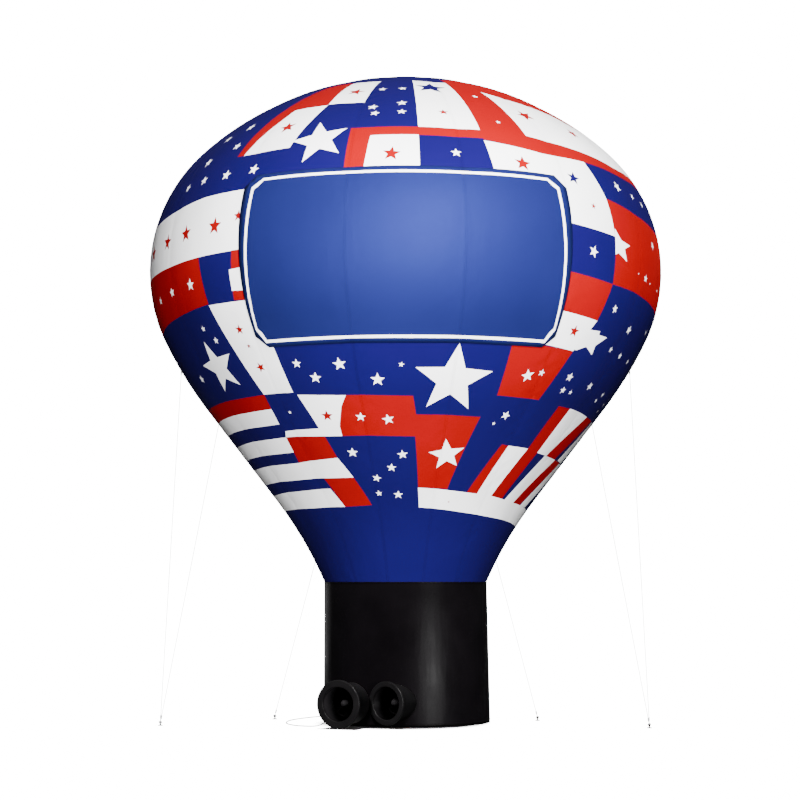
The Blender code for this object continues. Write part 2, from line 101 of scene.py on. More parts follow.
# Seams, stitches and weave of the cloth; the range of noise that patches of it span
SEAM_BAND = 0.022
STITCH_PLACE = 0.008
STITCH_WIDTH = 0.0012
STITCHES_PER_METRE = 160.0
STITCH_GAP = 0.35
WEAVE_PITCH = 1200.0
PATCHY = (0.3, 0.7)

# Welding distances, and angles above which an edge is sharp
WELD = 0.00002
PRINT_WELD = 0.0002
BASE_WELD = 0.00005
SHARP_ANGLE = 40.0
TUBE_SHARP_ANGLE = 60.0
BASE_SHARP_ANGLE = 50.0

# Banner panel
BANNER_TURN = 36.0
BANNER_BOTTOM = 3.325
BANNER_TOP = 4.800
BANNER_CORNER = 0.110
BANNER_LIFT = 0.004
BANNER_CLOTH = 0.0015
# The white line printed inside its edge: outer and inner corners of its left half
LINE_OUTER = ((-31.3, 4.762), (-33.9, 4.690), (-35.25, 3.470), (-33.4, 3.362))
LINE_INNER = ((-31.1, 4.738), (-32.3, 4.690), (-33.2, 4.668), (-34.65, 3.485), (-33.8, 3.452),
              (-33.0, 3.386))

# Camera: fitted to the photograph
CAMERA_PLACE = (0.0, -18.0, 1.3045)
CAMERA_PITCH = 5.51
CAMERA_LENS = 85.02
CAMERA_SENSOR = 36.0
CAMERA_SHIFT = -0.006875

# Brightness of the backdrop, of the light from the floor, the horizon and above, and of the
# lamp that lights the floor alone
BACKDROP_GLOW = 17.0
FLOOR_BOUNCE = 0.20
HORIZON_GLOW = 0.03
SKY_GLOW = 0.25
FLOOR_LAMP = 60.0
FLOOR_LAMP_PLACE = (0.3, 2.0, 12.0)
FLOOR_LAMP_ANGLE = 7.0
FLOOR_REACH = 400.0

# Power lead of the left blower; its route repeats the solids' route
LEAD_DIAMETER = 0.009
LEAD_RADIUS = LEAD_DIAMETER / 2
LEAD_FLOOR = 0.0048
LEAD_START = 0.012
LEAD_STEPS = 110
LEAD_DROP = ((-0.730, -0.646, 0.0400), (-0.778, -0.652, 0.0135), (-0.835, -0.656, 0.0055))
LEAD_ROUTE = (
    (-0.890, -0.648), (-0.945, -0.620), (-1.000, -0.562), (-1.050, -0.465), (-1.090, -0.345),
    (-1.110, -0.210), (-1.110, -0.060), (-1.088, 0.095), (-1.040, 0.250), (-0.970, 0.400),
    (-0.880, 0.545), (-0.770, 0.680), (-0.640, 0.800), (-0.500, 0.895), (-0.350, 0.960),
    (-0.200, 0.993), (-0.080, 1.0012), (0.0270, 1.0015),
)
GLAND_PLACE = 0.215
GLAND_DROP = 35.0
GLAND_LENGTH = 0.030
COIL_CENTRE = (0.060, 1.060)
COIL_RADII = (0.0585, 0.0495, 0.0405)
COIL_LAYER_RISE = 0.0090
COIL_STEPS = 24
COIL_SHIFT_TURN = 0.22
PLUG_BACK = 0.190
PLUG_MIDDLE = 0.0123

# Blowers: mouth centre, degrees turned to the left, radii of rim, drum, mouth, throat; length
BLOWERS = {
    "left": ((-0.605, -0.945, 0.218), 26.0, 0.216, 0.184, 0.155, 0.118, 0.425),
    "right": ((-0.178, -0.852, 0.221), 38.0, 0.196, 0.172, 0.150, 0.105, 0.345),
}
STAKES = {
    "front_left": (-2.24, -0.53),
    "front_right": (2.19, -0.83),
    "back_left": (-1.25, 0.28),
    "back_right": (1.25, 0.09),
}
# Ropes: name, stake, degrees of the tie ring, and the turn of the foot about X on the stake
ROPES = (
    ("side_left", "front_left", -102.0, 8.0),
    ("rear_left", "front_left", -126.0, -8.0),
    ("back_left", "back_left", -168.0, 0.0),
    ("side_right", "front_right", 102.0, 8.0),
    ("rear_right", "front_right", 126.0, -8.0),
    ("back_right", "back_right", 168.0, 0.0),
)
ROPE_RADIUS = 0.003
KNOT_RADIUS = 0.0048
KNOT_PITCH = 0.0062
KNOT_BACK = 0.078
KNOT_FORWARD = 0.020
TURN_REACH = 0.0155
TURN_RADIUS = 0.0018
EYE_RADIUS = 0.0028
EYE_BACK = 0.040
EYE_REACH = 0.044
EYE_WIDTH = 0.0075
TIE_HEIGHT = 3.45
RING_RADIUS = 0.026
RING_LIFT = 0.004
HOOP_RADIUS = 0.0036
BAND_RISE = 0.0062
BAND_LIFT = 0.0012
BAND_REACH = 0.030
BAND_CLOTH = 0.0014
STAKE_BALL = 0.014
STAKE_EYE = 0.032
# The tie patch: share of its radius and height over the cloth, from its middle outwards
TIE_PATCH_RADIUS = 0.050
TIE_PATCH = ((0.0, 0.0030), (0.30, 0.0031), (0.62, 0.0032), (0.80, 0.0026), (0.83, 0.0020),
             (0.86, 0.0027), (0.96, 0.0026), (1.0, 0.0004))
BLOWER_FACETS = 36
TOUCH_GAP = 0.0003
RIM_DEPTH = 0.032
DRUM_LENGTH = 0.262
SHOULDER_END = 0.312
NECK_WALL = 0.010
CONE_DEPTH = 0.140
HUB_RADIUS = 0.040
FAN_MIDDLE = -0.174
SHAFT_RADIUS = 0.0085
BLADES = 7
BLADE_SINK = 0.003
BLADE_ROOM = 0.0065
ROOT_PITCH = 48
BLADE_TWIST = 20
BLADE_CHORD = 0.040
BLADE_BELLY = 0.022
BLADE_RAKE = 0.16
BLADE_CAMBER = 0.10
BLADE_HALF = 0.0016
BLADE_EDGE = 0.0004
SCREWS = 8
LIP_RADIUS = 0.0085
MOUTH_INSET = 0.002
# Where a ray or a cutter starts in front of a mouth, and how much wider the cutter is
AHEAD = 0.10
CUT_ROOM = 0.0012

# Base
BASE_RADIUS = 0.7688
BASE_TOP = 1.3077
BASE_CLOTH = 0.0012
FOOT_CURVE = 0.012
FOOT_HEIGHT = 0.020
TOP_SPREAD = 0.008
FOOT_SPREAD = 0.028
FOOT_STEPS = 8
SPREAD_FALL = 0.08
FADE_TOP = 0.25
FADE_FOOT = 0.20
FOLD_DEPTH = 0.0042
FINE_FOLD_DEPTH = 0.0014
WALL_LIFT = 0.001
CUFF_ROOM = 0.0030
CUFF_RADIUS = 0.0042
CUFF_FLOOR = 0.0045
# Sleeve: where on the shoulder it starts, and how long its free run is beside the shoulder's part
CLOTH_GAP = 0.0022
SLEEVE_STEPS = 288
SLEEVE_START = 0.35
SLEEVE_RUN = 5.0
SLEEVE_FLOOR = 0.003
PLEAT_DEPTH = 0.0034
FINE_PLEAT_DEPTH = 0.0018
PLEAT_LIFT = 0.004

BLUE_CLOTH = (0.0051, 0.0027, 0.0495)
RED_CLOTH = (0.190, 0.0005, 0.0019)
WHITE_CLOTH = (0.880, 0.880, 0.890)
PANEL_CLOTH = (0.0050, 0.0064, 0.046)
BLACK_CLOTH = (0.0029, 0.0023, 0.0029)

# The print on the blue envelope, painted in this order
RED, WHITE, BLUE = "red", "white", "blue"
PATCHES = (
    # above the banner
    (RED, (-36, 5.84), (-23, 5.84), (-23, 5.50), (-27, 5.04), (-42, 5.03), (-40, 5.46)),
    (WHITE, (-34, 5.50), (-23, 5.50), (-27, 5.04), (-40, 5.03)),
    (WHITE, (-23, 5.83), (-11, 5.85), (-12, 5.51), (-23, 5.51)),
    (WHITE, (3, 5.84), (17, 5.82), (18, 5.19), (3, 5.19)),
    (RED, (-13, 5.20), (18, 5.19), (18, 5.10), (-8, 5.11), (-9, 4.70), (-13, 4.70)),
    (WHITE, (-8, 5.11), (3, 5.11), (3, 4.70), (-9, 4.70)),
    (RED, (17, 5.88), (30, 5.93), (52, 5.78), (74, 5.62), (92, 5.36), (92, 4.88), (63, 4.96),
     (45, 5.00), (33, 5.00), (18, 5.09)),
    (WHITE, (28, 5.71), (51, 5.55), (62, 5.49), (85, 5.14), (85, 4.98), (57, 5.06), (30, 5.18)),
    # right of the banner
    (WHITE, (18, 5.08), (32, 5.01), (45, 5.00), (48, 4.67), (49, 4.33), (34, 4.39), (34, 4.70),
     (19, 4.74)),
    (RED, (48, 4.67), (59, 4.61), (84, 4.46), (84, 3.78), (58, 3.89), (49, 3.91), (49, 4.33)),
    (WHITE, (49.2, 4.40), (51.2, 4.31), (54.8, 4.28), (52.5, 4.24), (53.5, 4.13), (50.2, 4.19), (49, 4.17),
     (49, 4.40)),
    (RED, (34, 3.97), (49, 3.91), (47, 3.59), (34, 3.64)),
    (WHITE, (34, 3.64), (47, 3.59), (43, 3.32), (30, 3.36)),
    (WHITE, (45.5, 3.51), (49.5, 3.51), (49.5, 3.48), (53.2, 3.47), (50, 3.39), (50.2, 3.31), (46.8, 3.37),
     (43.8, 3.33), (41, 3.36)),
    (RED, (25, 3.40), (33, 3.38), (33, 3.34), (43, 3.32), (39, 2.90), (25, 2.92)),
    # left of the banner
    (WHITE, (-84, 4.54), (-64, 4.62), (-48, 4.68), (-34, 4.69), (-34, 4.15), (-48, 4.14),
     (-84, 4.09)),
    (RED, (-84, 4.09), (-48, 4.14), (-47, 3.73), (-84, 3.60)),
    (RED, (-38, 4.15), (-34, 4.15), (-34, 3.72), (-39, 3.73)),
    (WHITE, (-39, 3.99), (-34, 4.00), (-34, 3.80), (-39, 3.81)),
    (WHITE, (-47, 3.72), (-34, 3.72), (-34, 3.36), (-32, 3.36), (-31, 2.95), (-41, 2.95)),
    # left stripes
    (RED, (-84, 2.91), (-41, 2.95), (-41, 2.83), (-84, 2.79)),
    (WHITE, (-84, 2.79), (-41, 2.83), (-41, 2.70), (-84, 2.67)),
    (WHITE, (-84, 2.56), (-41, 2.59), (-41, 2.46), (-84, 2.44)),
    (WHITE, (-84, 2.35), (-41, 2.37), (-24, 2.40), (-20, 2.23), (-34, 2.23), (-84, 2.21)),
    (WHITE, (-84, 2.11), (-32, 2.14), (-28, 1.98), (-84, 1.97)),
    # under the banner
    (WHITE, (-30, 2.93), (-16, 2.91), (-18, 2.82), (-19, 2.74), (-20, 2.66), (-20, 2.58),
     (-41, 2.59), (-40, 2.64), (-27, 2.65)),
    (RED, (-16, 2.91), (2, 2.90), (3, 2.75), (22, 2.74), (17, 2.13), (5, 2.14), (3, 2.57),
     (-20, 2.58), (-20, 2.66), (-19, 2.74), (-18, 2.82)),
    (RED, (-41, 2.59), (-26, 2.58), (-24, 2.40), (-41, 2.37)),
    (RED, (-33, 2.23), (-20, 2.23), (-15, 1.99), (-28, 1.98)),
    # right stripes
    (RED, (48, 2.87), (54, 2.86), (51, 2.47), (46, 2.06), (39, 2.08), (45, 2.50)),
    (WHITE, (54, 2.86), (68, 2.82), (58, 2.45), (51, 2.47)),
    (RED, (68, 2.82), (76, 2.80), (66, 2.43), (58, 2.45)),
    (WHITE, (78, 2.80), (88, 2.78), (78, 2.41), (70, 2.43)),
    (RED, (33, 2.52), (36, 2.51), (31, 2.09), (26, 2.11)),
    (WHITE, (36, 2.51), (45, 2.50), (39, 2.08), (31, 2.09)),
    (WHITE, (57, 2.45), (67, 2.43), (56, 2.03), (48, 2.05)),
    (RED, (67, 2.43), (75, 2.41), (63, 2.01), (56, 2.03)),
    (WHITE, (75, 2.41), (84, 2.40), (72, 2.00), (64, 2.01)),
    (WHITE, (5, 2.14), (18, 2.12), (39, 2.08), (56, 2.03), (84, 1.97), (96, 1.95), (96, 1.80),
     (77, 1.83), (56, 1.875), (37, 1.91), (19, 1.95), (6, 1.97)),
    # right back
    (WHITE, (93, 5.52), (108, 5.50), (108, 5.02), (93, 5.00)),
    (RED, (108, 5.50), (130, 5.56), (134, 5.02), (108, 5.02)),
    (WHITE, (84, 3.78), (108, 3.74), (106, 3.20), (84, 3.24)),
    (RED, (96, 4.98), (120, 4.92), (120, 4.44), (96, 4.46)),
    (WHITE, (120, 4.44), (156, 4.40), (156, 3.92), (120, 3.92)),
    (RED, (120, 3.92), (144, 3.92), (142, 3.40), (120, 3.42)),
    (RED, (92, 3.24), (106, 3.20), (103, 2.80), (90, 2.82)),
    (WHITE, (112, 2.96), (140, 2.94), (137, 2.56), (110, 2.58)),
    (RED, (90, 2.56), (110, 2.58), (108, 2.18), (88, 2.18)),
    (WHITE, (136, 5.56), (158, 5.58), (160, 5.00), (134, 5.02)),
    (RED, (158, 3.40), (180, 3.40), (180, 2.96), (156, 2.98)),
    # right back stripes
    (RED, (132, 2.40), (180, 2.38), (180, 2.28), (131, 2.30)),
    (WHITE, (131, 2.30), (180, 2.28), (180, 2.18), (130, 2.20)),
    (WHITE, (129, 2.10), (180, 2.08), (180, 1.98), (128, 1.98)),
    # crown
    (WHITE, (104, 5.92), (132, 5.94), (132, 5.66), (104, 5.64)),
    (RED, (150, 5.95), (180, 5.95), (180, 5.68), (150, 5.66)),
    (WHITE, (-172, 5.93), (-140, 5.93), (-140, 5.66), (-172, 5.66)),
    (RED, (-104, 5.92), (-76, 5.92), (-76, 5.66), (-104, 5.66)),
    # left back
    (RED, (-108, 5.52), (-84, 5.50), (-84, 4.98), (-108, 5.02)),
    (WHITE, (-132, 5.00), (-108, 5.02), (-108, 4.54), (-132, 4.52)),
    (RED, (-156, 5.58), (-134, 5.56), (-132, 5.00), (-156, 5.02)),
    (RED, (-120, 4.54), (-98, 4.54), (-98, 4.10), (-120, 4.10)),
    (WHITE, (-180, 4.60), (-156, 4.60), (-156, 4.08), (-180, 4.08)),
    (RED, (-156, 4.08), (-132, 4.10), (-132, 3.62), (-156, 3.62)),
    (WHITE, (-120, 3.62), (-98, 3.62), (-100, 3.14), (-120, 3.12)),
    (RED, (-144, 3.12), (-120, 3.12), (-122, 2.66), (-144, 2.66)),
    (WHITE, (-180, 3.10), (-158, 3.10), (-158, 2.70), (-180, 2.70)),
    (WHITE, (-112, 2.90), (-88, 2.92), (-88, 2.50), (-112, 2.48)),
    (RED, (-126, 2.40), (-100, 2.40), (-102, 1.98), (-126, 1.98)),
)
# Stars: degrees, height, radius and lean in degrees; white where no colour follows
STARS = (
    (12, 3.03, 0.350, 2), (-20, 5.09, 0.270, -14), (-53, 3.21, 0.270, -8),
    (118, 5.80, 0.095, 4, RED), (164, 5.82, 0.095, 20), (-90, 5.80, 0.095, 20),
    (-156, 5.80, 0.095, 6, RED), (14, 2.42, 0.165, -10), (9, 5.72, 0.150, 6, BLUE),
    (-47, 5.38, 0.055, 8), (-54, 5.30, 0.055, -5), (-45, 5.16, 0.050, 12), (-54, 5.06, 0.055, -9),
    (-35, 4.87, 0.058, 14), (-43, 4.86, 0.055, 4), (-51, 4.86, 0.050, -12), (-58, 4.84, 0.045, 9),
    (-52, 3.92, 0.058, 3), (-61, 3.90, 0.046, -8), (-69, 3.87, 0.042, 10), (-52, 3.54, 0.032, 0),
    (-49, 3.43, 0.036, 9), (-65.5, 3.15, 0.045, 15), (-27, 3.18, 0.046, 5), (-16, 3.16, 0.064, -4),
    (-23, 3.06, 0.056, 10), (-7, 3.03, 0.066, 3), (-1, 3.15, 0.026, 12), (-35, 2.79, 0.018, 0),
    (-13, 2.73, 0.048, 7), (-5, 2.71, 0.056, -11), (-18, 2.44, 0.052, 6), (-1, 2.42, 0.048, -6),
    (-5, 2.31, 0.044, 3), (-11, 2.22, 0.042, 14), (-11, 2.09, 0.032, -5), (-3, 2.08, 0.044, 2),
    (30, 2.76, 0.048, 20), (27, 2.69, 0.018, 0), (32, 3.09, 0.068, -16), (36, 3.12, 0.036, 8),
    (46, 3.11, 0.046, 10), (46, 3.00, 0.037, -4), (49.5, 2.99, 0.026, 6), (57, 3.06, 0.045, -18),
    (57.5, 3.38, 0.034, 9), (64, 3.35, 0.036, -7), (68, 3.02, 0.028, 12), (52, 3.71, 0.042, -12),
    (62, 3.57, 0.046, 15), (42, 4.16, 0.056, 20), (55, 4.83, 0.058, -20), (11, 4.94, 0.048, 0),
    (63.5, 4.04, 0.038, 8), (68, 4.37, 0.045, -40), (-8, 5.69, 0.040, 4), (-1, 5.69, 0.040, -8),
    (-9, 5.44, 0.050, 8), (-1, 5.48, 0.050, -3), (-8, 5.36, 0.045, 12), (-1, 5.37, 0.045, 5),
    (23, 5.62, 0.032, 6), (24, 5.30, 0.026, 2), (-17, 5.67, 0.085, 10, RED),
    (-31, 5.28, 0.085, -12, RED), (-3, 4.92, 0.082, 6, RED), (-43, 4.39, 0.085, 3, RED),
    (-53, 4.38, 0.085, -4, RED), (-62, 4.36, 0.085, 5, RED), (-72, 4.32, 0.085, -3, RED),
    (-36.5, 4.45, 0.055, 0, RED), (-40, 3.49, 0.050, 8, RED), (-39, 3.35, 0.024, 0, RED),
    (-38, 3.17, 0.052, -16, RED), (-23, 2.75, 0.058, 4, RED), (41, 3.48, 0.060, 6, RED),
    (36, 5.45, 0.095, -22, RED), (51, 5.34, 0.075, -18, RED), (26, 4.88, 0.082, 8, RED),
    (43, 4.57, 0.032, 12, RED), (10, 5.38, 0.050, 0, RED), (39, 4.81, 0.072, 15, BLUE),
    (19, 2.02, 0.012, 0, RED), (-25, 2.10, 0.020, 0, RED), (148, 4.92, 0.055, 8),
    (147, 5.26, 0.090, -5, RED), (108, 4.70, 0.080, 4), (138, 4.17, 0.090, 8, RED),
    (96, 3.50, 0.080, -8, RED), (131, 3.66, 0.070, 5), (168, 3.72, 0.270, -6),
    (119, 3.16, 0.055, 9), (148, 3.16, 0.055, 3), (99, 2.38, 0.070, -6), (125, 2.77, 0.070, 6, RED),
    (168, 2.68, 0.150, 8), (168, 5.20, 0.060, 4), (172, 4.86, 0.240, 8), (120, 5.26, 0.070, 6),
    (-96, 5.26, 0.080, -4), (-120, 4.77, 0.090, 7, RED), (-144, 4.60, 0.240, 5),
    (-146, 5.28, 0.070, -8), (-109, 4.32, 0.070, 3), (-168, 4.34, 0.100, 6, RED),
    (-144, 3.86, 0.080, -6), (-90, 3.86, 0.055, 6), (-109, 3.38, 0.080, 4, RED),
    (-168, 3.60, 0.210, -9), (-132, 2.90, 0.070, 5), (-169, 2.90, 0.075, 8, RED),
    (-100, 2.70, 0.070, -7, RED), (-113, 2.20, 0.060, 4), (-146, 2.30, 0.160, 6),
    (62, 4.79, 0.036, -30), (67, 4.75, 0.036, -30), (59.5, 4.06, 0.012, 0), (66.5, 4.01, 0.014, 0),
    (73.5, 3.99, 0.020, 0), (75, 3.61, 0.036, 10), (71.5, 3.33, 0.034, 6), (66, 2.96, 0.026, 9),
    (76, 2.95, 0.024, 12), (74.5, 2.89, 0.020, 12), (-165, 2.30, 0.050, 3), (-84, 3.30, 0.050, 9),
    (-90, 4.78, 0.050, 4),
)
STAR_WAIST = 0.42


def cos_deg(degrees):
    return math.cos(math.radians(degrees))


def sin_deg(degrees):
    return math.sin(math.radians(degrees))


def at_turn(radius, degrees, height):
    """A point at a radius, turned from the front towards +X."""
    return Vector((radius * sin_deg(degrees), -radius * cos_deg(degrees), height))


def polar(reach, turn, height=0.0):
    return Vector((reach * math.cos(turn), reach * math.sin(turn), height))


def circle(count):
    """The angles of even steps round a circle."""
    return [2 * math.pi * k / count for k in range(count)]


class Skin:
    """The envelope's outer skin: its outline by length from the crown, and its gores."""

    def __init__(self):
        line = [(0.0, 0.0, 0.0)]
        for radius, degrees in (CROWN_ARC, SHOULDER_ARC, SIDE_ARC):
            line += self.arc(line[-1], radius, degrees)
        r, z, slope = line[-1]
        for k in range(1, CONE_STEPS + 1):
            part = CONE_LENGTH * k / CONE_STEPS
            line.append((r + part * math.cos(slope), z - part * math.sin(slope), slope))
        line += self.arc(line[-1], -FLARE_ARC[0], FLARE_ARC[1])
        lift = NECK_HEIGHT - line[-1][1]
        self.r = np.array([p[0] for p in line])
        self.z = np.array([p[1] + lift for p in line])
        self.slope = np.array([p[2] for p in line])
        steps = np.hypot(np.diff(self.r), np.diff(self.z))
        self.s = np.concatenate(([0.0], np.cumsum(steps)))

    @staticmethod
    def arc(start, radius, degrees):
        r, z, heading = start
        points = []
        for k in range(1, ARC_STEPS + 1):
            turn = heading + math.copysign(math.radians(degrees), radius) * k / ARC_STEPS
            points.append((r + radius * (math.sin(turn) - math.sin(heading)),
                           z + radius * (math.cos(turn) - math.cos(heading)), turn))
        return points

    def length_at(self, height):
        """Length along the outline from the crown down to a height."""
        return float(np.interp(-height, -self.z, self.s))

    def height_at(self, length):
        return float(np.interp(length, self.s, self.z))

    def radius_at(self, length):
        return float(np.interp(length, self.s, self.r))

    def normal(self, degrees, length):
        slope = float(np.interp(length, self.s, self.slope))
        return at_turn(math.sin(slope), degrees, math.cos(slope))

    def swell(self, degrees, length):
        """How far the cloth stands off the plain turned shape."""
        across = (degrees / GORE_TURN + 0.5) % 1.0 * 2 - 1
        height = self.height_at(length)
        radius = self.radius_at(length)
        room = min(1.0, radius / FULL_RADIUS) * min(1.0, max(0.0, (height - NECK_HEIGHT) / FULL_RISE))
        bulge = SEAM_ZONE - across * across
        near_seam = max(0.0, abs(across) - SEAM_ZONE) / (1 - SEAM_ZONE)
        wave = math.sin(2 * math.pi * length / PUCKER_LENGTH + 3 * math.sin(degrees * 0.7))
        off = GORE_SWELL * bulge + PUCKER_DEPTH * near_seam * (1 - near_seam) * 4 * wave
        return off * room * (1 - BANNER_PRESS * self.under_banner(degrees, height))

    @staticmethod
    def under_banner(degrees, height):
        """1 well inside the banner, 0 outside it, smooth between."""
        side = (BANNER_TURN - abs(degrees)) / PRESS_TURN
        end = min(height - BANNER_BOTTOM, BANNER_TOP - height) / PRESS_HEIGHT
        inside = max(0.0, min(1.0, side, end))
        return inside * inside * (3 - 2 * inside)

    def point(self, degrees, length, off=0.0, swell=True):
        at = at_turn(self.radius_at(length), degrees, self.height_at(length))
        if swell:
            off += self.swell(degrees, length)
        return at + off * self.normal(degrees, length)


SKIN = Skin()
CAP_LENGTH = float(np.interp(CROWN_CAP_RADIUS, SKIN.r[:ARC_STEPS], SKIN.s[:ARC_STEPS]))


# Shader nodes

def add_node(tree, kind, settings=None, inputs=None):
    made = tree.nodes.new(kind)
    for name, value in (settings or {}).items():
        setattr(made, name, value)
    for name, value in (inputs or {}).items():
        if isinstance(value, bpy.types.NodeSocket):
            tree.links.new(value, made.inputs[name])
        else:
            made.inputs[name].default_value = value
    return made


def maths(tree, operation, first, second=None):
    inputs = {0: first}
    if second is not None:
        inputs[1] = second
    return add_node(tree, "ShaderNodeMath", {"operation": operation}, inputs).outputs[0]


def times(tree, *values):
    return reduce(lambda a, b: maths(tree, "MULTIPLY", a, b), values)


def plus(tree, *values):
    return reduce(lambda a, b: maths(tree, "ADD", a, b), values)


def spread(tree, value, low, high, to_low, to_high):
    inputs = {"Value": value, "From Min": low, "From Max": high, "To Min": to_low, "To Max": to_high}
    return add_node(tree, "ShaderNodeMapRange", {}, inputs).outputs["Result"]


def mixed(tree, factor, first, second):
    made = add_node(tree, "ShaderNodeMix", {"data_type": "RGBA"})
    tree.links.new(factor, made.inputs[0])
    for index, value in ((6, first), (7, second)):
        if isinstance(value, bpy.types.NodeSocket):
            tree.links.new(value, made.inputs[index])
        else:
            made.inputs[index].default_value = (*value, 1.0)
    return made.outputs[2]


def noise_of(tree, vector, scale, detail):
    inputs = {"Vector": vector, "Scale": scale, "Detail": detail}
    return add_node(tree, "ShaderNodeTexNoise", {}, inputs).outputs["Fac"]


def new_material(name, roughness, metallic=0.0, **constants):
    made = bpy.data.materials.new(name)
    made.use_nodes = True
    tree = made.node_tree
    shader = tree.nodes["Principled BSDF"]
    shader.inputs["Roughness"].default_value = roughness
    shader.inputs["Metallic"].default_value = metallic
    for key, value in constants.items():
        shader.inputs[key.replace("_", " ")].default_value = value
    place = add_node(tree, "ShaderNodeTexCoord").outputs["Object"]
    return made, tree, shader, place


def bumped(tree, shader, height, distance, strength=1.0):
    inputs = {"Height": height, "Distance": distance, "Strength": strength}
    bump = add_node(tree, "ShaderNodeBump", {}, inputs)
    tree.links.new(bump.outputs["Normal"], shader.inputs["Normal"])


def shade(colour, factor):
    return tuple(min(1.0, c * factor) for c in colour)


def drawn_out(tree, place, factor):
    """The place with its height scaled, which draws a pattern out upwards."""
    inputs = {"Vector": place, "Scale": (1.0, 1.0, factor)}
    return add_node(tree, "ShaderNodeMapping", {}, inputs).outputs[0]


def blotched(tree, patches, colour, low, high):
    """The colour from a darker shade to a lighter one, as the patches go."""
    factor = spread(tree, patches, *PATCHY, 0.0, 1.0)
    return mixed(tree, factor, shade(colour, low), shade(colour, high))


def worn(tree, shader, patches, low, high):
    """Roughness that varies with the patches."""
    tree.links.new(spread(tree, patches, *PATCHY, low, high), shader.inputs["Roughness"])


def gore_cloth(name, colour, roughness=0.50, seam_tone=0.965, gloss=0.03, sheen=(0.0, 0.0, 0.0),
               gloss_tint=(1.0, 1.0, 1.0)):
    """Coated cloth sewn in gores: a ripstop grid, seams with stitches, and faint creases."""
    made, tree, shader, place = new_material(
        name, roughness, Specular_IOR_Level=gloss, Sheen_Weight=1.0 if any(sheen) else 0.0,
        Sheen_Roughness=0.35, Sheen_Tint=(*sheen, 1.0), Specular_Tint=(*gloss_tint, 1.0))
    x, y, z = add_node(tree, "ShaderNodeSeparateXYZ", {}, {0: place}).outputs
    turn = maths(tree, "ARCTAN2", x, times(tree, y, -1.0))
    radius = maths(tree, "SQRT", plus(tree, times(tree, x, x), times(tree, y, y)))
    gore = maths(tree, "FRACT", times(tree, turn, GORES / (2 * math.pi)))
    across = maths(tree, "ABSOLUTE", maths(tree, "SUBTRACT", gore, 0.5))
    to_seam = times(tree, across, radius, 2 * math.pi / GORES)
    blotches = noise_of(tree, place, 1.3, 4.0)
    streaks = noise_of(tree, drawn_out(tree, place, 0.25), 6.0, 3.0)
    varied = blotched(tree, blotches, colour, 0.93, 1.05)
    seam_shade = spread(tree, to_seam, 0.0, SEAM_BAND, 0.0, 1.0)
    seamed = mixed(tree, seam_shade, shade(colour, seam_tone), varied)
    off_line = maths(tree, "ABSOLUTE", maths(tree, "SUBTRACT", to_seam, STITCH_PLACE))
    stitch_line = maths(tree, "LESS_THAN", off_line, STITCH_WIDTH)
    run = maths(tree, "FRACT", times(tree, z, STITCHES_PER_METRE))
    stitch = times(tree, stitch_line, maths(tree, "GREATER_THAN", run, STITCH_GAP))
    threads = mixed(tree, stitch, seamed, shade(colour, 0.80))
    tree.links.new(threads, shader.inputs["Base Color"])
    weave = plus(tree, maths(tree, "SINE", times(tree, turn, radius, WEAVE_PITCH)),
                 maths(tree, "SINE", times(tree, z, WEAVE_PITCH)))
    folds = times(tree, streaks, spread(tree, to_seam, 0.0, 0.25, 1.0, 0.25))
    fine = plus(tree, times(tree, weave, 0.03), times(tree, stitch, 0.4))
    bumped(tree, shader, plus(tree, times(tree, folds, 2.6), fine), 0.003)
    worn(tree, shader, blotches, roughness - 0.04, roughness + 0.05)
    return made


def satin_black(name, colour, roughness):
    """Black coated cloth of the base: soft vertical creases and a fine weave."""
    made, tree, shader, place = new_material(name, roughness, Specular_IOR_Level=0.07)
    creases = noise_of(tree, drawn_out(tree, place, 0.18), 5.0, 3.0)
    grain = noise_of(tree, place, 420.0, 2.0)
    patchy = noise_of(tree, place, 3.0, 3.0)
    tree.links.new(blotched(tree, patchy, colour, 0.8, 1.25), shader.inputs["Base Color"])
    bumped(tree, shader, plus(tree, times(tree, creases, 1.4), times(tree, grain, 0.04)), 0.004)
    worn(tree, shader, patchy, roughness - 0.04, roughness + 0.06)
    return made


def moulded(name, colour, roughness, metallic=0.0, grain_scale=260.0, gloss=0.30):
    """Moulded plastic or painted metal: fine grain, slight dust on top, worn roughness."""
    made, tree, shader, place = new_material(name, roughness, metallic, Specular_IOR_Level=gloss)
    grain = noise_of(tree, place, grain_scale, 2.0)
    patchy = noise_of(tree, place, 7.0, 4.0)
    normal = add_node(tree, "ShaderNodeNewGeometry").outputs["Normal"]
    up = add_node(tree, "ShaderNodeSeparateXYZ", {}, {0: normal}).outputs[2]
    dust = times(tree, spread(tree, up, 0.3, 1.0, 0.0, 0.35), patchy)
    dusty = tuple(c * 1.6 + 0.002 for c in colour)
    tone = mixed(tree, dust, blotched(tree, patchy, colour, 0.8, 1.2), dusty)
    tree.links.new(tone, shader.inputs["Base Color"])
    bumped(tree, shader, grain, 0.0006, 0.35)
    worn(tree, shader, patchy, roughness - 0.06, roughness + 0.08)
    return made


def braided(name, colour, strands_per_metre):
    """Braided cord: slanting strands along it."""
    made, tree, shader, place = new_material(name, 0.75, Sheen_Weight=0.3)
    inputs = {"Vector": place, "Scale": strands_per_metre, "Distortion": 1.5, "Detail": 1.0}
    wave = add_node(tree, "ShaderNodeTexWave", {"bands_direction": "DIAGONAL"}, inputs).outputs["Fac"]
    tree.links.new(mixed(tree, wave, shade(colour, 0.82), colour), shader.inputs["Base Color"])
    bumped(tree, shader, wave, 0.0008)
    return made


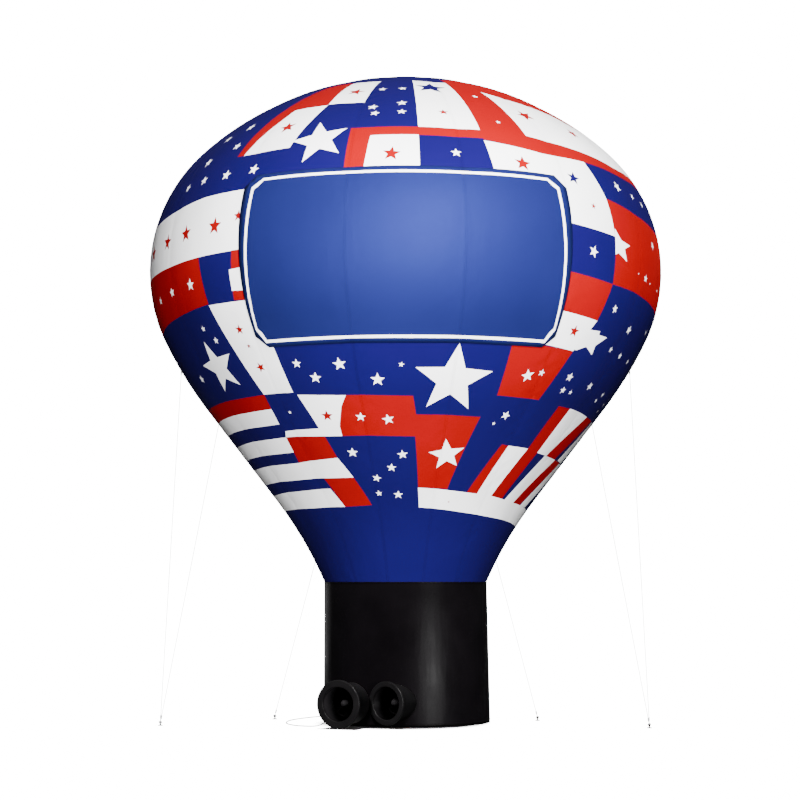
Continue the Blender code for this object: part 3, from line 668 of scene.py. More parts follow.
MATERIALS = {
    BLUE: gore_cloth("print_blue", BLUE_CLOTH, sheen=(0.001, 0.0004, 0.009)),
    RED: gore_cloth("print_red", RED_CLOTH, sheen=(0.08, 0.001, 0.001)),
    WHITE: gore_cloth("print_white", WHITE_CLOTH),
    "base": satin_black("base_black", BLACK_CLOTH, 0.36),
    # The foot's near-black band is a painted contact shadow along the bottom of the base cloth.
    "foot": satin_black("foot_black", shade(BLACK_CLOTH, 0.15), 0.70),
    "plastic": moulded("blower_plastic", (0.0030, 0.0028, 0.0030), 0.34, gloss=0.20),
    # A darker copy of the blower plastic: painted shade inside the mouth and down the duct past the throat.
    "cone": moulded("cone_plastic", (0.0010, 0.0009, 0.0010), 0.45, gloss=0.05),
    "liner": moulded("liner_plastic", (0.0046, 0.0042, 0.0046), 0.45, gloss=0.05),
    # The hub's plastic is lighter than the blades': a painted highlight on the hub nose.
    "fan": moulded("fan_plastic", (0.0070, 0.0065, 0.0070), 0.30, gloss=0.45),
    # The blades are near black: painted shade inside the duct.
    "blade": moulded("blade_plastic", (0.0005, 0.0005, 0.0005), 0.50, gloss=0.02),
    "motor": moulded("motor_paint", (0.020, 0.020, 0.021), 0.45, 0.6),
    "steel": moulded("stake_paint", (0.0022, 0.0022, 0.0022), 0.45, gloss=0.10),
    "screw": moulded("screw_steel", (0.32, 0.32, 0.33), 0.35, 0.9),
    "panel": gore_cloth("banner_blue", PANEL_CLOTH, 0.58, 1.0, 0.36, gloss_tint=(0.16, 0.24, 1.0)),
    "panel_line": gore_cloth("banner_white", WHITE_CLOTH, 0.56, 1.0, 0.06),
    "rope": braided("guy_rope_braid", (0.46, 0.46, 0.47), 90.0),
    "webbing": braided("tie_webbing", (0.72, 0.72, 0.72), 140.0),
    "rubber": moulded("lead_rubber", (0.0032, 0.0032, 0.0032), 0.60, 0.0, 500.0, 0.08),
}


# Mesh helpers

def placed(name, data):
    """A new object of the scene."""
    made = bpy.data.objects.new(name, data)
    bpy.context.scene.collection.objects.link(made)
    return made


def bridge(bm, rings, around=True):
    """Faces between each ring of vertices and the next."""
    for low, high in zip(rings, rings[1:]):
        for k in range(len(low) if around else len(low) - 1):
            after = (k + 1) % len(low)
            bm.faces.new((low[k], low[after], high[after], high[k]))


def finished(name, bm, weld=0.0, angle=None, matrix=None, outward=True):
    """The smooth mesh of what was built; edges are sharp above an angle, if one is given."""
    if weld:
        bmesh.ops.remove_doubles(bm, verts=bm.verts[:], dist=weld)
    if outward:
        bmesh.ops.recalc_face_normals(bm, faces=bm.faces[:])
    if matrix is not None:
        bm.transform(matrix)
    mesh = bpy.data.meshes.new(name)
    bm.to_mesh(mesh)
    bm.free()
    mesh.shade_smooth()
    if angle is not None:
        mesh.set_sharp_from_angle(angle=math.radians(angle))
    return mesh


def thicken(thing, thickness, offset):
    """Gives a cloth its thickness, outwards or inwards."""
    wall = thing.modifiers.new("cloth", "SOLIDIFY")
    wall.thickness, wall.offset = thickness, offset


def add_piece(mesh, materials, body=BODY, replaced=()):
    """A piece of the scene, named like its mesh."""
    made = placed(mesh.name, mesh)
    for each in materials:
        mesh.materials.append(MATERIALS[each])
    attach(made, body)
    if replaced:
        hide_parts(*replaced)
    return made


def turned_mesh(name, profile, steps, matrix=Matrix(), closed=True):
    """A profile of (radius, height) points turned about Z, then placed."""
    bm = bmesh.new()
    verts = [bm.verts.new((max(r, 0.0), 0.0, z)) for r, z in profile]
    edges = [bm.edges.new(pair) for pair in zip(verts, verts[1:])]
    if closed:
        edges.append(bm.edges.new((verts[-1], verts[0])))
    bmesh.ops.spin(bm, geom=verts + edges, cent=(0, 0, 0), axis=(0, 0, 1), angle=2 * math.pi,
                   steps=steps, use_merge=True, use_duplicate=False)
    return finished(name, bm, WELD, SHARP_ANGLE, matrix)


def rounded(profile, radius, steps):
    """The closed profile with each corner turned into a small arc."""
    made = []
    count = len(profile)
    for k in range(count):
        before, at, after = (Vector(profile[(k + j) % count]) for j in (-1, 0, 1))
        into, out = before - at, after - at
        cut = min(radius, into.length * 0.45, out.length * 0.45)
        first, last = at + into.normalized() * cut, at + out.normalized() * cut
        for j in range(steps + 1):
            t = j / steps
            made.append(tuple(first * (1 - t) ** 2 + at * 2 * t * (1 - t) + last * t * t))
    return made


def tube_mesh(name, points, radius, sides, closed=False):
    """A round tube along points, with no twist; its ends are closed, or joined to each other."""
    points = [Vector(p) for p in points]
    count = len(points)
    bm = bmesh.new()
    rings = []
    side = None
    for k, point in enumerate(points):
        before = points[k - 1] if k or closed else point
        after = points[(k + 1) % count] if k < count - 1 or closed else point
        along = (after - before).normalized()
        if side is None:
            side = along.orthogonal().normalized()
        side = (side - along * side.dot(along)).normalized()
        up = along.cross(side)
        rings.append([bm.verts.new(p) for p in ring_points(point, side, up, radius, sides)])
    first, last = rings[0], rings[-1]
    if closed:
        shift = min(range(sides), key=lambda j: (last[0].co - first[j].co).length)
        rings.append(first[shift:] + first[:shift])
    else:
        bm.faces.new(first[::-1])
        bm.faces.new(last)
    bridge(bm, rings)
    return finished(name, bm, angle=TUBE_SHARP_ANGLE)


def joined(name, meshes):
    """One mesh of several, which may pass through each other a little."""
    bm = bmesh.new()
    for mesh in meshes:
        bm.from_mesh(mesh)
        bpy.data.meshes.remove(mesh)
    return finished(name, bm, angle=SHARP_ANGLE, outward=False)


def smooth_route(points, count):
    ways = [Vector(p) for p in points]
    ways = [2 * ways[0] - ways[1], *ways, 2 * ways[-1] - ways[-2]]
    fine = []
    for a, b, c, d in zip(ways, ways[1:], ways[2:], ways[3:]):
        for k in range(24):
            t = k / 24
            fine.append(0.5 * (2 * b + (c - a) * t + (2 * a - 5 * b + 4 * c - d) * t**2
                               + (3 * b - a - 3 * c + d) * t**3))
    fine.append(ways[-2])
    reach = np.concatenate(([0.0], np.cumsum([(b - a).length for a, b in zip(fine, fine[1:])])))
    wanted = np.linspace(0.0, reach[-1], count)
    axes = [np.interp(wanted, reach, [p[k] for p in fine]) for k in range(3)]
    return [Vector(p) for p in zip(*axes)]


# Camera, light and floor

def aim(thing, target):
    way = Vector(target) - thing.location
    thing.rotation_euler = way.to_track_quat("-Z", "Y").to_euler()


def make_camera():
    data = bpy.data.cameras.new("photo_camera")
    data.lens, data.sensor_width, data.shift_x = CAMERA_LENS, CAMERA_SENSOR, CAMERA_SHIFT
    data.clip_start, data.clip_end = 0.1, 400.0
    made = placed("photo_camera", data)
    made.location = CAMERA_PLACE
    made.rotation_euler = (math.radians(90 + CAMERA_PITCH), 0.0, 0.0)
    bpy.context.scene.camera = made


def add_light(name, place, target, size, power):
    data = bpy.data.lights.new(name, "AREA")
    data.shape, data.size, data.size_y = "RECTANGLE", size[0], size[1]
    data.energy = power
    made = placed(name, data)
    made.location = place
    aim(made, target)
    return made


def make_world():
    """White behind the object; the light from it is dim at eye level and bright from below,
    as over a white floor."""
    world = bpy.data.worlds.new("studio")
    bpy.context.scene.world = world
    world.use_nodes = True
    tree = world.node_tree
    way = add_node(tree, "ShaderNodeTexCoord").outputs["Generated"]
    up = add_node(tree, "ShaderNodeSeparateXYZ", {}, {0: way}).outputs[2]
    below = spread(tree, up, -0.75, -0.05, FLOOR_BOUNCE, HORIZON_GLOW)
    above = spread(tree, up, 0.05, 0.9, 0.0, SKY_GLOW - HORIZON_GLOW)
    glow = add_node(tree, "ShaderNodeBackground", {}, {"Strength": maths(tree, "ADD", below, above)})
    seen = add_node(tree, "ShaderNodeBackground", {}, {"Strength": BACKDROP_GLOW})
    for each in (glow, seen):
        each.inputs["Color"].default_value = (1.0, 1.0, 1.0, 1.0)
    path = add_node(tree, "ShaderNodeLightPath")
    both = add_node(tree, "ShaderNodeMixShader", {}, {0: path.outputs["Is Camera Ray"],
                                                      1: glow.outputs[0], 2: seen.outputs[0]})
    tree.links.new(both.outputs[0], tree.nodes["World Output"].inputs["Surface"])


def make_floor():
    bm = bmesh.new()
    bmesh.ops.create_grid(bm, x_segments=4, y_segments=4, size=FLOOR_REACH)
    floor = placed("floor", finished("floor", bm, outward=False))
    made, tree, shader, place = new_material("floor_paint", 0.8, Specular_IOR_Level=0.0)
    specks = noise_of(tree, place, 0.4, 2.0)
    paint = mixed(tree, specks, (0.93, 0.93, 0.93), (0.95, 0.95, 0.95))
    tree.links.new(paint, shader.inputs["Base Color"])
    floor.data.materials.append(made)
    floor.visible_diffuse = floor.visible_glossy = False
    return floor


def make_studio():
    """Lamps for the print, the banner, the black pieces and the mouths, and those from behind."""
    lamps = {
        "key": ((1.9, -9.6, 8.0), (0.0, 0.0, 3.6), (3.6, 3.0), 3900.0),
        "front": ((0.3, -12.0, 3.1), (0.0, 0.0, 3.0), (2.4, 1.8), 4400.0),
        "low": ((-1.0, -13.5, 14.0), (0.0, 0.0, 0.8), (4.0, 3.0), 8600.0),
        "strip": ((10.4, -14.8, 1.3), (0.0, 0.0, 1.0), (2.2, 4.0), 3200.0),
        "side": ((5.0, -10.0, 13.0), (0.0, 0.0, 0.3), (2.5, 2.5), 6500.0),
        "mouths": ((-6.0, -10.0, 12.0), (0.0, 0.0, 0.3), (4.0, 4.0), 15000.0),
        "inside": ((11.4, -11.3, 2.2), (-0.4, -0.9, 0.2), (4.0, 4.0), 9800.0),
        "gloss": ((2.0, -15.0, 10.0), (0.0, 0.0, 3.6), (9.0, 6.0), 4000.0),
        "panel_key": ((3.2, -16.0, 11.0), (0.0, 0.0, 3.6), (6.0, 5.0), 12500.0),
        "panel_front": ((0.5, -20.0, 3.2), (0.0, 0.0, 3.0), (4.0, 3.0), 13500.0),
        "edge": ((-9.0, 15.5, 1.3), (0.0, 0.0, 0.7), (1.2, 3.0), 55.0),
        "back_left": ((-10.0, 13.0, 8.0), (0.0, 0.0, 3.0), (8.0, 6.0), 250.0),
        "back_right": ((11.0, 13.0, 8.0), (0.0, 0.0, 3.0), (8.0, 6.0), 250.0),
        "behind": ((0.0, 19.0, 4.5), (0.0, 0.0, 3.0), (5.0, 4.0), 9000.0),
    }
    made = {name: add_light(name, *lamp) for name, lamp in lamps.items()}
    for name in ("key", "front", "low", "mouths", "inside", "back_left", "back_right", "behind"):
        made[name].visible_glossy = False
    for name in ("side", "gloss", "panel_key", "panel_front"):
        made[name].visible_diffuse = False
    make_world()
    return made


def light_floor(floor, pieces):
    """A broad lamp for the floor alone, which only the pieces near the ground shade."""
    data = bpy.data.lights.new("floor_lamp", "SUN")
    data.energy, data.angle = FLOOR_LAMP, math.radians(FLOOR_LAMP_ANGLE)
    lamp = placed("floor_lamp", data)
    lamp.location = FLOOR_LAMP_PLACE
    aim(lamp, (0.0, 0.0, 0.0))
    lit, shading = (bpy.data.collections.new(name) for name in ("floor_lit", "floor_shading"))
    lit.objects.link(floor)
    for each in pieces:
        shading.objects.link(each)
    lamp.light_linking.receiver_collection = lit
    lamp.light_linking.blocker_collection = shading


def link_lamps(lamps, floor):
    """Shares the lamps out: the black pieces have their own, and none lights the floor."""
    kinds = {MATERIALS["base"]: "black"}
    kinds |= {MATERIALS[name]: "moulded" for name in ("plastic", "fan", "blade", "motor", "steel", "rubber")}
    kinds |= {MATERIALS["liner"]: "liner", MATERIALS["panel"]: "panel"}
    groups = {name: bpy.data.collections.new(f"lit_{name}")
              for name in ("print", "black", "moulded", "liner", "panel", "fabric", "dark", "all")}
    for each in bpy.context.scene.objects:
        if each.type not in ("MESH", "CURVE") or each is floor:
            continue
        kind = next((kinds[held] for held in each.data.materials if held in kinds), "print")
        groups[kind].objects.link(each)
        groups["fabric" if kind in ("print", "panel") else "dark"].objects.link(each)
        groups["all"].objects.link(each)
    shares = {"key": "fabric", "front": "fabric", "gloss": "print", "panel_key": "panel",
              "panel_front": "panel", "back_left": "fabric", "back_right": "fabric", "low": "black",
              "edge": "black", "strip": "dark", "side": "moulded", "mouths": "moulded", "inside": "liner"}
    for name, lamp in lamps.items():
        lamp.light_linking.receiver_collection = groups[shares.get(name, "all")]


# The lead

def blower_matrix(side):
    """A blower's own +Z points out of its mouth, its -X to its left side."""
    mouth, turn = BLOWERS[side][:2]
    spin = Matrix.Rotation(math.radians(-turn), 4, "Z")
    return Matrix.Translation(mouth) @ spin @ Matrix.Rotation(math.pi / 2, 4, "X")


def gland_axis():
    place = blower_matrix("left")
    drum = BLOWERS["left"][3]
    out = (place.to_3x3() @ Vector((-cos_deg(GLAND_DROP), -sin_deg(GLAND_DROP), 0.0))).normalized()
    foot = place @ Vector((0.0, 0.0, -GLAND_PLACE))
    foot += out * (drum * math.cos(math.pi / BLOWER_FACETS) + TOUCH_GAP)
    return foot, out


def coil_points():
    """Turns that lie side by side inwards, then step up and lie outwards on top."""
    radii = [*COIL_RADII, *reversed(COIL_RADII)]
    points = []
    for turn, radius in enumerate(radii):
        after = radii[min(turn + 1, len(radii) - 1)]
        low = LEAD_FLOOR + (COIL_LAYER_RISE if turn >= len(COIL_RADII) else 0.0)
        rise = COIL_LAYER_RISE if turn == len(COIL_RADII) - 1 else 0.0
        for k in range(COIL_STEPS):
            part = k / COIL_STEPS
            shift = max(0.0, (part - 1 + COIL_SHIFT_TURN) / COIL_SHIFT_TURN)
            shift = shift * shift * (3 - 2 * shift)
            reach = radius + (after - radius) * shift
            angle = 2 * math.pi * part - math.pi / 2
            points.append(Vector((COIL_CENTRE[0] + reach * math.cos(angle),
                                  COIL_CENTRE[1] + reach * math.sin(angle), low + rise * shift)))
    return points


def make_lead():
    foot, out = gland_axis()
    start = foot + out * (GLAND_LENGTH + TOUCH_GAP)
    ways = [start + out * LEAD_START, *LEAD_DROP, *((x, y, LEAD_FLOOR) for x, y in LEAD_ROUTE)]
    route = [start, *smooth_route(ways, LEAD_STEPS)]
    for point in route:
        point.z = max(point.z, LEAD_FLOOR)
    middle, line = COIL_CENTRE[0], COIL_CENTRE[1] - COIL_RADII[0]
    top = LEAD_FLOOR + COIL_LAYER_RISE
    tail = ((middle, top), (middle + 0.020, top), (middle + 0.045, top - 0.0002),
            (middle + 0.070, top - 0.0006), (middle + 0.095, PLUG_MIDDLE + 0.0003),
            (PLUG_BACK - 0.015, PLUG_MIDDLE), (PLUG_BACK - TOUCH_GAP, PLUG_MIDDLE))
    points = route + coil_points() + [Vector((x, line, z)) for x, z in tail]
    curve = bpy.data.curves.new("power_cord", "CURVE")
    curve.dimensions = "3D"
    curve.bevel_depth = LEAD_RADIUS
    curve.bevel_resolution = 3
    curve.use_fill_caps = True
    spline = curve.splines.new("POLY")
    spline.points.add(len(points) - 1)
    for held, point in zip(spline.points, points):
        held.co = (*point, 1.0)
    cord = add_piece(curve, ["rubber"], replaced=("power_lead", "lead_coil", "lead_tail"))


make_camera()
make_lead()
LAMPS = make_studio()
FLOOR = make_floor()


# The print

def star_shape(degrees, height, radius, lean):
    """The ten corners of a star, as (degrees, length) pairs."""
    length = SKIN.length_at(height)
    around = SKIN.radius_at(length)
    corners = []
    for k in range(10):
        reach = radius if k % 2 == 0 else radius * STAR_WAIST
        turn = math.radians(36.0 * k + lean)
        across, up = reach * math.sin(turn), reach * math.cos(turn)
        corners.append((degrees + math.degrees(across / around), length - up))
    return corners


def cut_up(shapes, region, columns, rows):
    """Triangles over a region, split along the edges of all the shapes painted on it.

    Shapes and region are lists of (degrees, length) corners. Returns the points, the triangles
    and, for each triangle, the number of the last shape that covers it, or -1.
    """
    points, faces, walls = [], [], []

    def flat(place):
        return Vector((math.radians(place[0]) * TURN_SCALE, place[1]))

    for shape in [region, *shapes]:
        corners = [flat(place) for place in shape]
        area = sum(a.x * b.y - b.x * a.y for a, b in zip(corners, [*corners[1:], corners[0]]))
        shape = shape if area > 0 else shape[::-1]
        face = []
        for a, b in zip(shape, [*shape[1:], shape[0]]):
            start, end = flat(a), flat(b)
            count = max(1, round((end - start).length / EDGE_STEP))
            for k in range(count):
                face.append(len(points))
                points.append(start.lerp(end, k / count))
                walls.append(points[-1])
        faces.append(face)
    marks = np.array([tuple(p) for p in walls])
    low, high = (Vector(pick(marks[faces[0]], axis=0)) for pick in (np.min, np.max))
    cells = {}
    for mark in marks:
        cells.setdefault((int(mark[0] / EDGE_STEP), int(mark[1] / EDGE_STEP)), []).append(mark)
    for column in columns:
        for row in rows:
            at = flat((column, row))
            if min(*(at - low), *(high - at)) <= REGION_MARGIN:
                continue
            i, j = int(at.x / EDGE_STEP), int(at.y / EDGE_STEP)
            near = [m for di in (-1, 0, 1) for dj in (-1, 0, 1) for m in cells.get((i + di, j + dj), ())]
            if all(math.hypot(m[0] - at.x, m[1] - at.y) > CLEAR_OF_EDGES for m in near):
                points.append(at)
    found, _, triangles, _, _, owners = delaunay_2d_cdt(points, [], faces, 1, 1e-6, True)
    places = [(math.degrees(p.x / TURN_SCALE), p.y) for p in found]
    kept = [(t, max(o) - 1) for t, o in zip(triangles, owners) if 0 in o]
    return places, [t for t, _ in kept], [k for _, k in kept]


def painted_mesh(name, places, triangles, kinds, point_at):
    """The cut-up cloth in its place, each triangle with the material of its kind."""
    bm = bmesh.new()
    cloth = bm.loops.layers.uv.new("cloth")
    verts = [bm.verts.new(point_at(degrees, length)) for degrees, length in places]
    for triangle, kind in zip(triangles, kinds):
        face = bm.faces.new([verts[k] for k in triangle])
        face.material_index = kind
        for loop, k in zip(face.loops, triangle):
            degrees, length = places[k]
            loop[cloth].uv = (math.radians(degrees) * TURN_SCALE, length)
    return finished(name, bm, PRINT_WELD)


def gore_columns():
    return [gore * GORE_TURN - 180.0 + part for gore in range(GORES) for part in GORE_COLUMNS]


def steps_between(low, high, step):
    count = max(1, round((high - low) / step))
    return [low + (high - low) * k / count for k in range(count + 1)]


def printed_piece(name, top, bottom, replaced):
    """A band of the skin from one length to another, with the print that falls on it."""
    region = [(-180.0, top), (180.0, top), (180.0, bottom), (-180.0, bottom)]
    prints = [(colour, [(degrees, SKIN.length_at(height)) for degrees, height in corners])
              for colour, *corners in PATCHES]
    prints += [(star[4] if len(star) > 4 else WHITE, star_shape(*star[:4])) for star in STARS]
    prints = [(colour, shape) for colour, shape in prints
              if min(p[1] for p in shape) < bottom and max(p[1] for p in shape) > top]
    order = [BLUE, RED, WHITE]
    rows = steps_between(top, bottom, ROW_STEP)[1:-1]
    shapes = [shape for _, shape in prints]
    places, triangles, owners = cut_up(shapes, region, gore_columns()[1:], rows)
    kinds = [order.index(prints[k][0]) if k >= 0 else 0 for k in owners]
    mesh = painted_mesh(name, places, triangles, kinds, SKIN.point)
    add_piece(mesh, order, replaced=(replaced,))


def make_envelope():
    bottom = SKIN.length_at(SKIRT_TOP)
    printed_piece("envelope_print", CAP_LENGTH, bottom, "envelope")
    printed_piece("skirt_cloth", bottom, SKIN.length_at(NECK_HEIGHT), "skirt")


def grid_mesh(name, columns, rows, point_at, weld=0.0, capped=False):
    """Rings of points, one for each row, each joined to the next; the first may be closed."""
    bm = bmesh.new()
    rings = [[bm.verts.new(point_at(c, r)) for c in columns] for r in rows]
    bridge(bm, rings)
    if capped:
        bm.faces.new(rings[0])
    return finished(name, bm, weld)


def make_crown():
    rows = steps_between(CROWN_HOLE, CAP_LENGTH, 0.02)
    mesh = grid_mesh("crown_cloth", gore_columns(), rows, SKIN.point, capped=True)
    add_piece(mesh, [BLUE], replaced=("crown_cap",))


def banner_outline():
    """The panel's eight corners."""
    corners = []
    for side, height in ((-1, BANNER_BOTTOM), (1, BANNER_BOTTOM), (1, BANNER_TOP), (-1, BANNER_TOP)):
        length = SKIN.length_at(height)
        cut_turn = math.degrees(BANNER_CORNER / SKIN.radius_at(length))
        low = height == BANNER_BOTTOM
        level = (side * (BANNER_TURN - cut_turn), length)
        upright = (side * BANNER_TURN, length + (-BANNER_CORNER if low else BANNER_CORNER))
        corners += [upright, level] if (side < 0) == low else [level, upright]
    return corners


def make_banner():
    line, field = [
        [(degrees, SKIN.length_at(height)) for degrees, height in half]
        + [(-degrees, SKIN.length_at(height)) for degrees, height in reversed(half)]
        for half in (LINE_OUTER, LINE_INNER)
    ]
    low, high = SKIN.length_at(BANNER_BOTTOM), SKIN.length_at(BANNER_TOP)
    columns = steps_between(-BANNER_TURN, BANNER_TURN, 1.5)
    rows = steps_between(high, low, 0.04)
    places, triangles, owners = cut_up([line, field], banner_outline(), columns, rows)
    kinds = [1 if k == 0 else 0 for k in owners]
    mesh = painted_mesh("banner_panel", places, triangles, kinds,
                        lambda degrees, length: SKIN.point(degrees, length, BANNER_LIFT))
    made = add_piece(mesh, ["panel", "panel_line"], replaced=("banner",))
    thicken(made, BANNER_CLOTH, 1.0)


# Base

def base_profile():
    """(radius, height) of the base cloth from its top down to the floor."""
    foot = []
    for k in range(FOOT_STEPS + 1):
        turn = math.pi / 2 * k / FOOT_STEPS
        foot.append((BASE_RADIUS - FOOT_CURVE * (1 - math.cos(turn)), FOOT_HEIGHT * (1 - math.sin(turn))))
    tucked = [(BASE_RADIUS - 0.0080, BASE_TOP + 0.040), (BASE_RADIUS - 0.0070, BASE_TOP + 0.012),
              (BASE_RADIUS - 0.0035, BASE_TOP)]
    walls = steps_between(BASE_TOP - 0.010, FOOT_HEIGHT, 0.022)[:-1]
    return tucked + [(BASE_RADIUS, z) for z in walls] + foot


def base_spread(degrees, height):
    """How much farther out the cloth stands than the drum: more to the right and near the floor."""
    fall = min(1.0, max(0.0, BASE_TOP - height) / SPREAD_FALL)
    reach = TOP_SPREAD + (FOOT_SPREAD - TOP_SPREAD) * (1.0 - height / BASE_TOP)
    return fall * reach * (0.5 + 0.5 * sin_deg(degrees))


def base_fold(degrees, height):
    """Soft upright folds, which die out at the neck and at the floor."""
    turn = math.radians(degrees)
    at = Vector((math.cos(turn) * 2.6, math.sin(turn) * 2.6, height * 0.55))
    fade = min(1.0, (BASE_TOP - height) / FADE_TOP, height / FADE_FOOT)
    fine = noise.noise(at * 2.7 + Vector((3.1, 1.7, 9.2)))
    return (noise.noise(at) * FOLD_DEPTH + fine * FINE_FOLD_DEPTH) * max(0.0, fade)


def drum_cutter(side):
    """The outside of a blower's drum, shoulder and neck, a little larger."""
    drum, throat, length = BLOWERS[side][3], BLOWERS[side][5], BLOWERS[side][6]
    wide, narrow, end = drum + CUT_ROOM, throat + NECK_WALL + CUT_ROOM, -length - 0.05
    profile = [(0.0, AHEAD), (wide, AHEAD), (wide, -DRUM_LENGTH), (narrow, -SHOULDER_END),
               (narrow, end), (0.0, end)]
    mesh = turned_mesh(f"{side}_cut", profile, 96, blower_matrix(side), closed=False)
    return placed(mesh.name, mesh)


def settle(thing):
    """Turns the object's modifiers into its mesh."""
    graph = bpy.context.evaluated_depsgraph_get()
    made = bpy.data.meshes.new_from_object(thing.evaluated_get(graph))
    thing.modifiers.clear()
    old = thing.data
    thing.data = made
    bpy.data.meshes.remove(old)


def make_base():
    profile = base_profile()
    loop = profile + [(r - BASE_CLOTH, max(z, 0.0002)) for r, z in reversed(profile)]

    def point_at(degrees, index):
        r, z = loop[index % len(loop)]
        return at_turn(r + base_fold(degrees, z) + base_spread(degrees, z), degrees, z)

    columns = steps_between(-180.0, 180.0, 1.5)[:-1]
    mesh = grid_mesh("base_cloth", columns, range(len(loop) + 1), point_at, BASE_WELD)
    made = add_piece(mesh, ["base", "foot"], replaced=("base_wall",))
    cutters = [drum_cutter(side) for side in BLOWERS]
    for cutter in cutters:
        step = made.modifiers.new(cutter.name, "BOOLEAN")
        step.operation, step.object, step.solver = "DIFFERENCE", cutter, "EXACT"
    settle(made)
    made.data.shade_smooth()
    made.data.set_sharp_from_angle(angle=math.radians(BASE_SHARP_ANGLE))
    # Faces below the foot's height take the foot's material: a painted contact shadow where the base meets
    # the floor.
    for face in made.data.polygons:
        face.material_index = int(face.center.z < FOOT_HEIGHT)
    for cutter in cutters:
        bpy.data.objects.remove(cutter, do_unlink=True)


def make_hems():
    """The rolled hems at the foot and at the top of the base."""
    places = ((BASE_RADIUS, 0.030, 0.005), (BASE_RADIUS + 0.0016, BASE_TOP - 0.006, 0.0055))
    hems = [[(r + 0.0022 * math.cos(t), z + half * math.sin(t)) for t in circle(10)]
            for r, z, half in places]
    mesh = joined("base_hems", [turned_mesh("hem", hem, 180) for hem in hems])
    for vertex in mesh.vertices:
        x, y, z = vertex.co
        out = 1.0 + base_spread(math.degrees(math.atan2(x, -y)), z) / math.hypot(x, y)
        vertex.co = (x * out, y * out, z)
    add_piece(mesh, ["base"])


def wall_hit(ray, way):
    """Where a line meets the upright wall of the base, or None."""
    a = way.x**2 + way.y**2
    b = 2 * (ray.x * way.x + ray.y * way.y)
    radius = BASE_RADIUS + WALL_LIFT
    for _ in range(4):
        gap = b * b - 4 * a * (ray.x**2 + ray.y**2 - radius**2)
        if gap < 0:
            return None
        hit = ray + way * (-b - math.sqrt(gap)) / (2 * a)
        radius = BASE_RADIUS + WALL_LIFT + base_spread(math.degrees(math.atan2(hit.x, -hit.y)), hit.z)
    return hit


def make_cuff(side):
    """The hem where the cloth is drawn in round what goes through it: the drum, or its neck."""
    place = blower_matrix(side)
    way = place.to_3x3() @ Vector((0.0, 0.0, -1.0))
    drum, throat = BLOWERS[side][3], BLOWERS[side][5]
    through = drum if side == "right" else throat + NECK_WALL
    hits = [wall_hit(place @ polar(through + CUFF_ROOM, turn, AHEAD), way) for turn in circle(96)]
    points = [hit for hit in hits if hit is not None]
    for point in points:
        point.z = max(point.z, CUFF_FLOOR)
    mesh = tube_mesh(f"{side}_cuff", points, CUFF_RADIUS, 10, closed=True)
    add_piece(mesh, ["base"])


def make_sleeve():
    """The left blower's sleeve: base cloth drawn over its shoulder and tied there, gathered in
    pleats on its way to the wall."""
    place = blower_matrix("left")
    way = place.to_3x3() @ Vector((0.0, 0.0, -1.0))
    drum, throat = BLOWERS["left"][3], BLOWERS["left"][5]
    neck = throat + NECK_WALL
    rows = []
    for over in np.linspace(0.0, 1.0 + SLEEVE_RUN, 26):
        ring = []
        for turn in circle(SLEEVE_STEPS):
            if over < 1.0:
                down = SLEEVE_START + (1 - SLEEVE_START) * over
                reach = drum + (neck - drum) * down + CLOTH_GAP
                depth = -(DRUM_LENGTH + (SHOULDER_END - DRUM_LENGTH) * down)
                pleat = 0.0
            else:
                run = (over - 1.0) / SLEEVE_RUN
                reach = neck + CLOTH_GAP + 0.012 * math.sin(math.pi * run) + 0.006 * run
                ray = place @ polar(reach, turn)
                wall = -(wall_hit(ray, way) - ray).length
                depth = -SHOULDER_END + (wall + SHOULDER_END) * run
                pleat = math.sin(math.pi * min(1.0, run * 1.15)) ** 0.6
            fold = PLEAT_DEPTH * math.sin(24 * turn + 1.7 * math.sin(3 * turn))
            fold += FINE_PLEAT_DEPTH * math.sin(41 * turn)
            reach += max(0.0, pleat) * (fold + PLEAT_LIFT)
            point = place @ polar(reach, turn, depth)
            point.z = max(point.z, SLEEVE_FLOOR)
            ring.append(point)
        rows.append(ring)
    mesh = grid_mesh("left_sleeve", range(SLEEVE_STEPS), range(len(rows)), lambda c, r: rows[r][c])
    thicken(add_piece(mesh, ["base"]), BASE_CLOTH, -1.0)
    strap = [(neck + 0.0040, -SHOULDER_END - 0.002), (neck + 0.0075, -SHOULDER_END - 0.003),
             (neck + 0.0075, -SHOULDER_END - 0.021), (neck + 0.0040, -SHOULDER_END - 0.022)]
    mesh = turned_mesh("left_sleeve_strap", rounded(strap, 0.001, 2), 128, place)
    add_piece(mesh, ["base"])


# Blowers

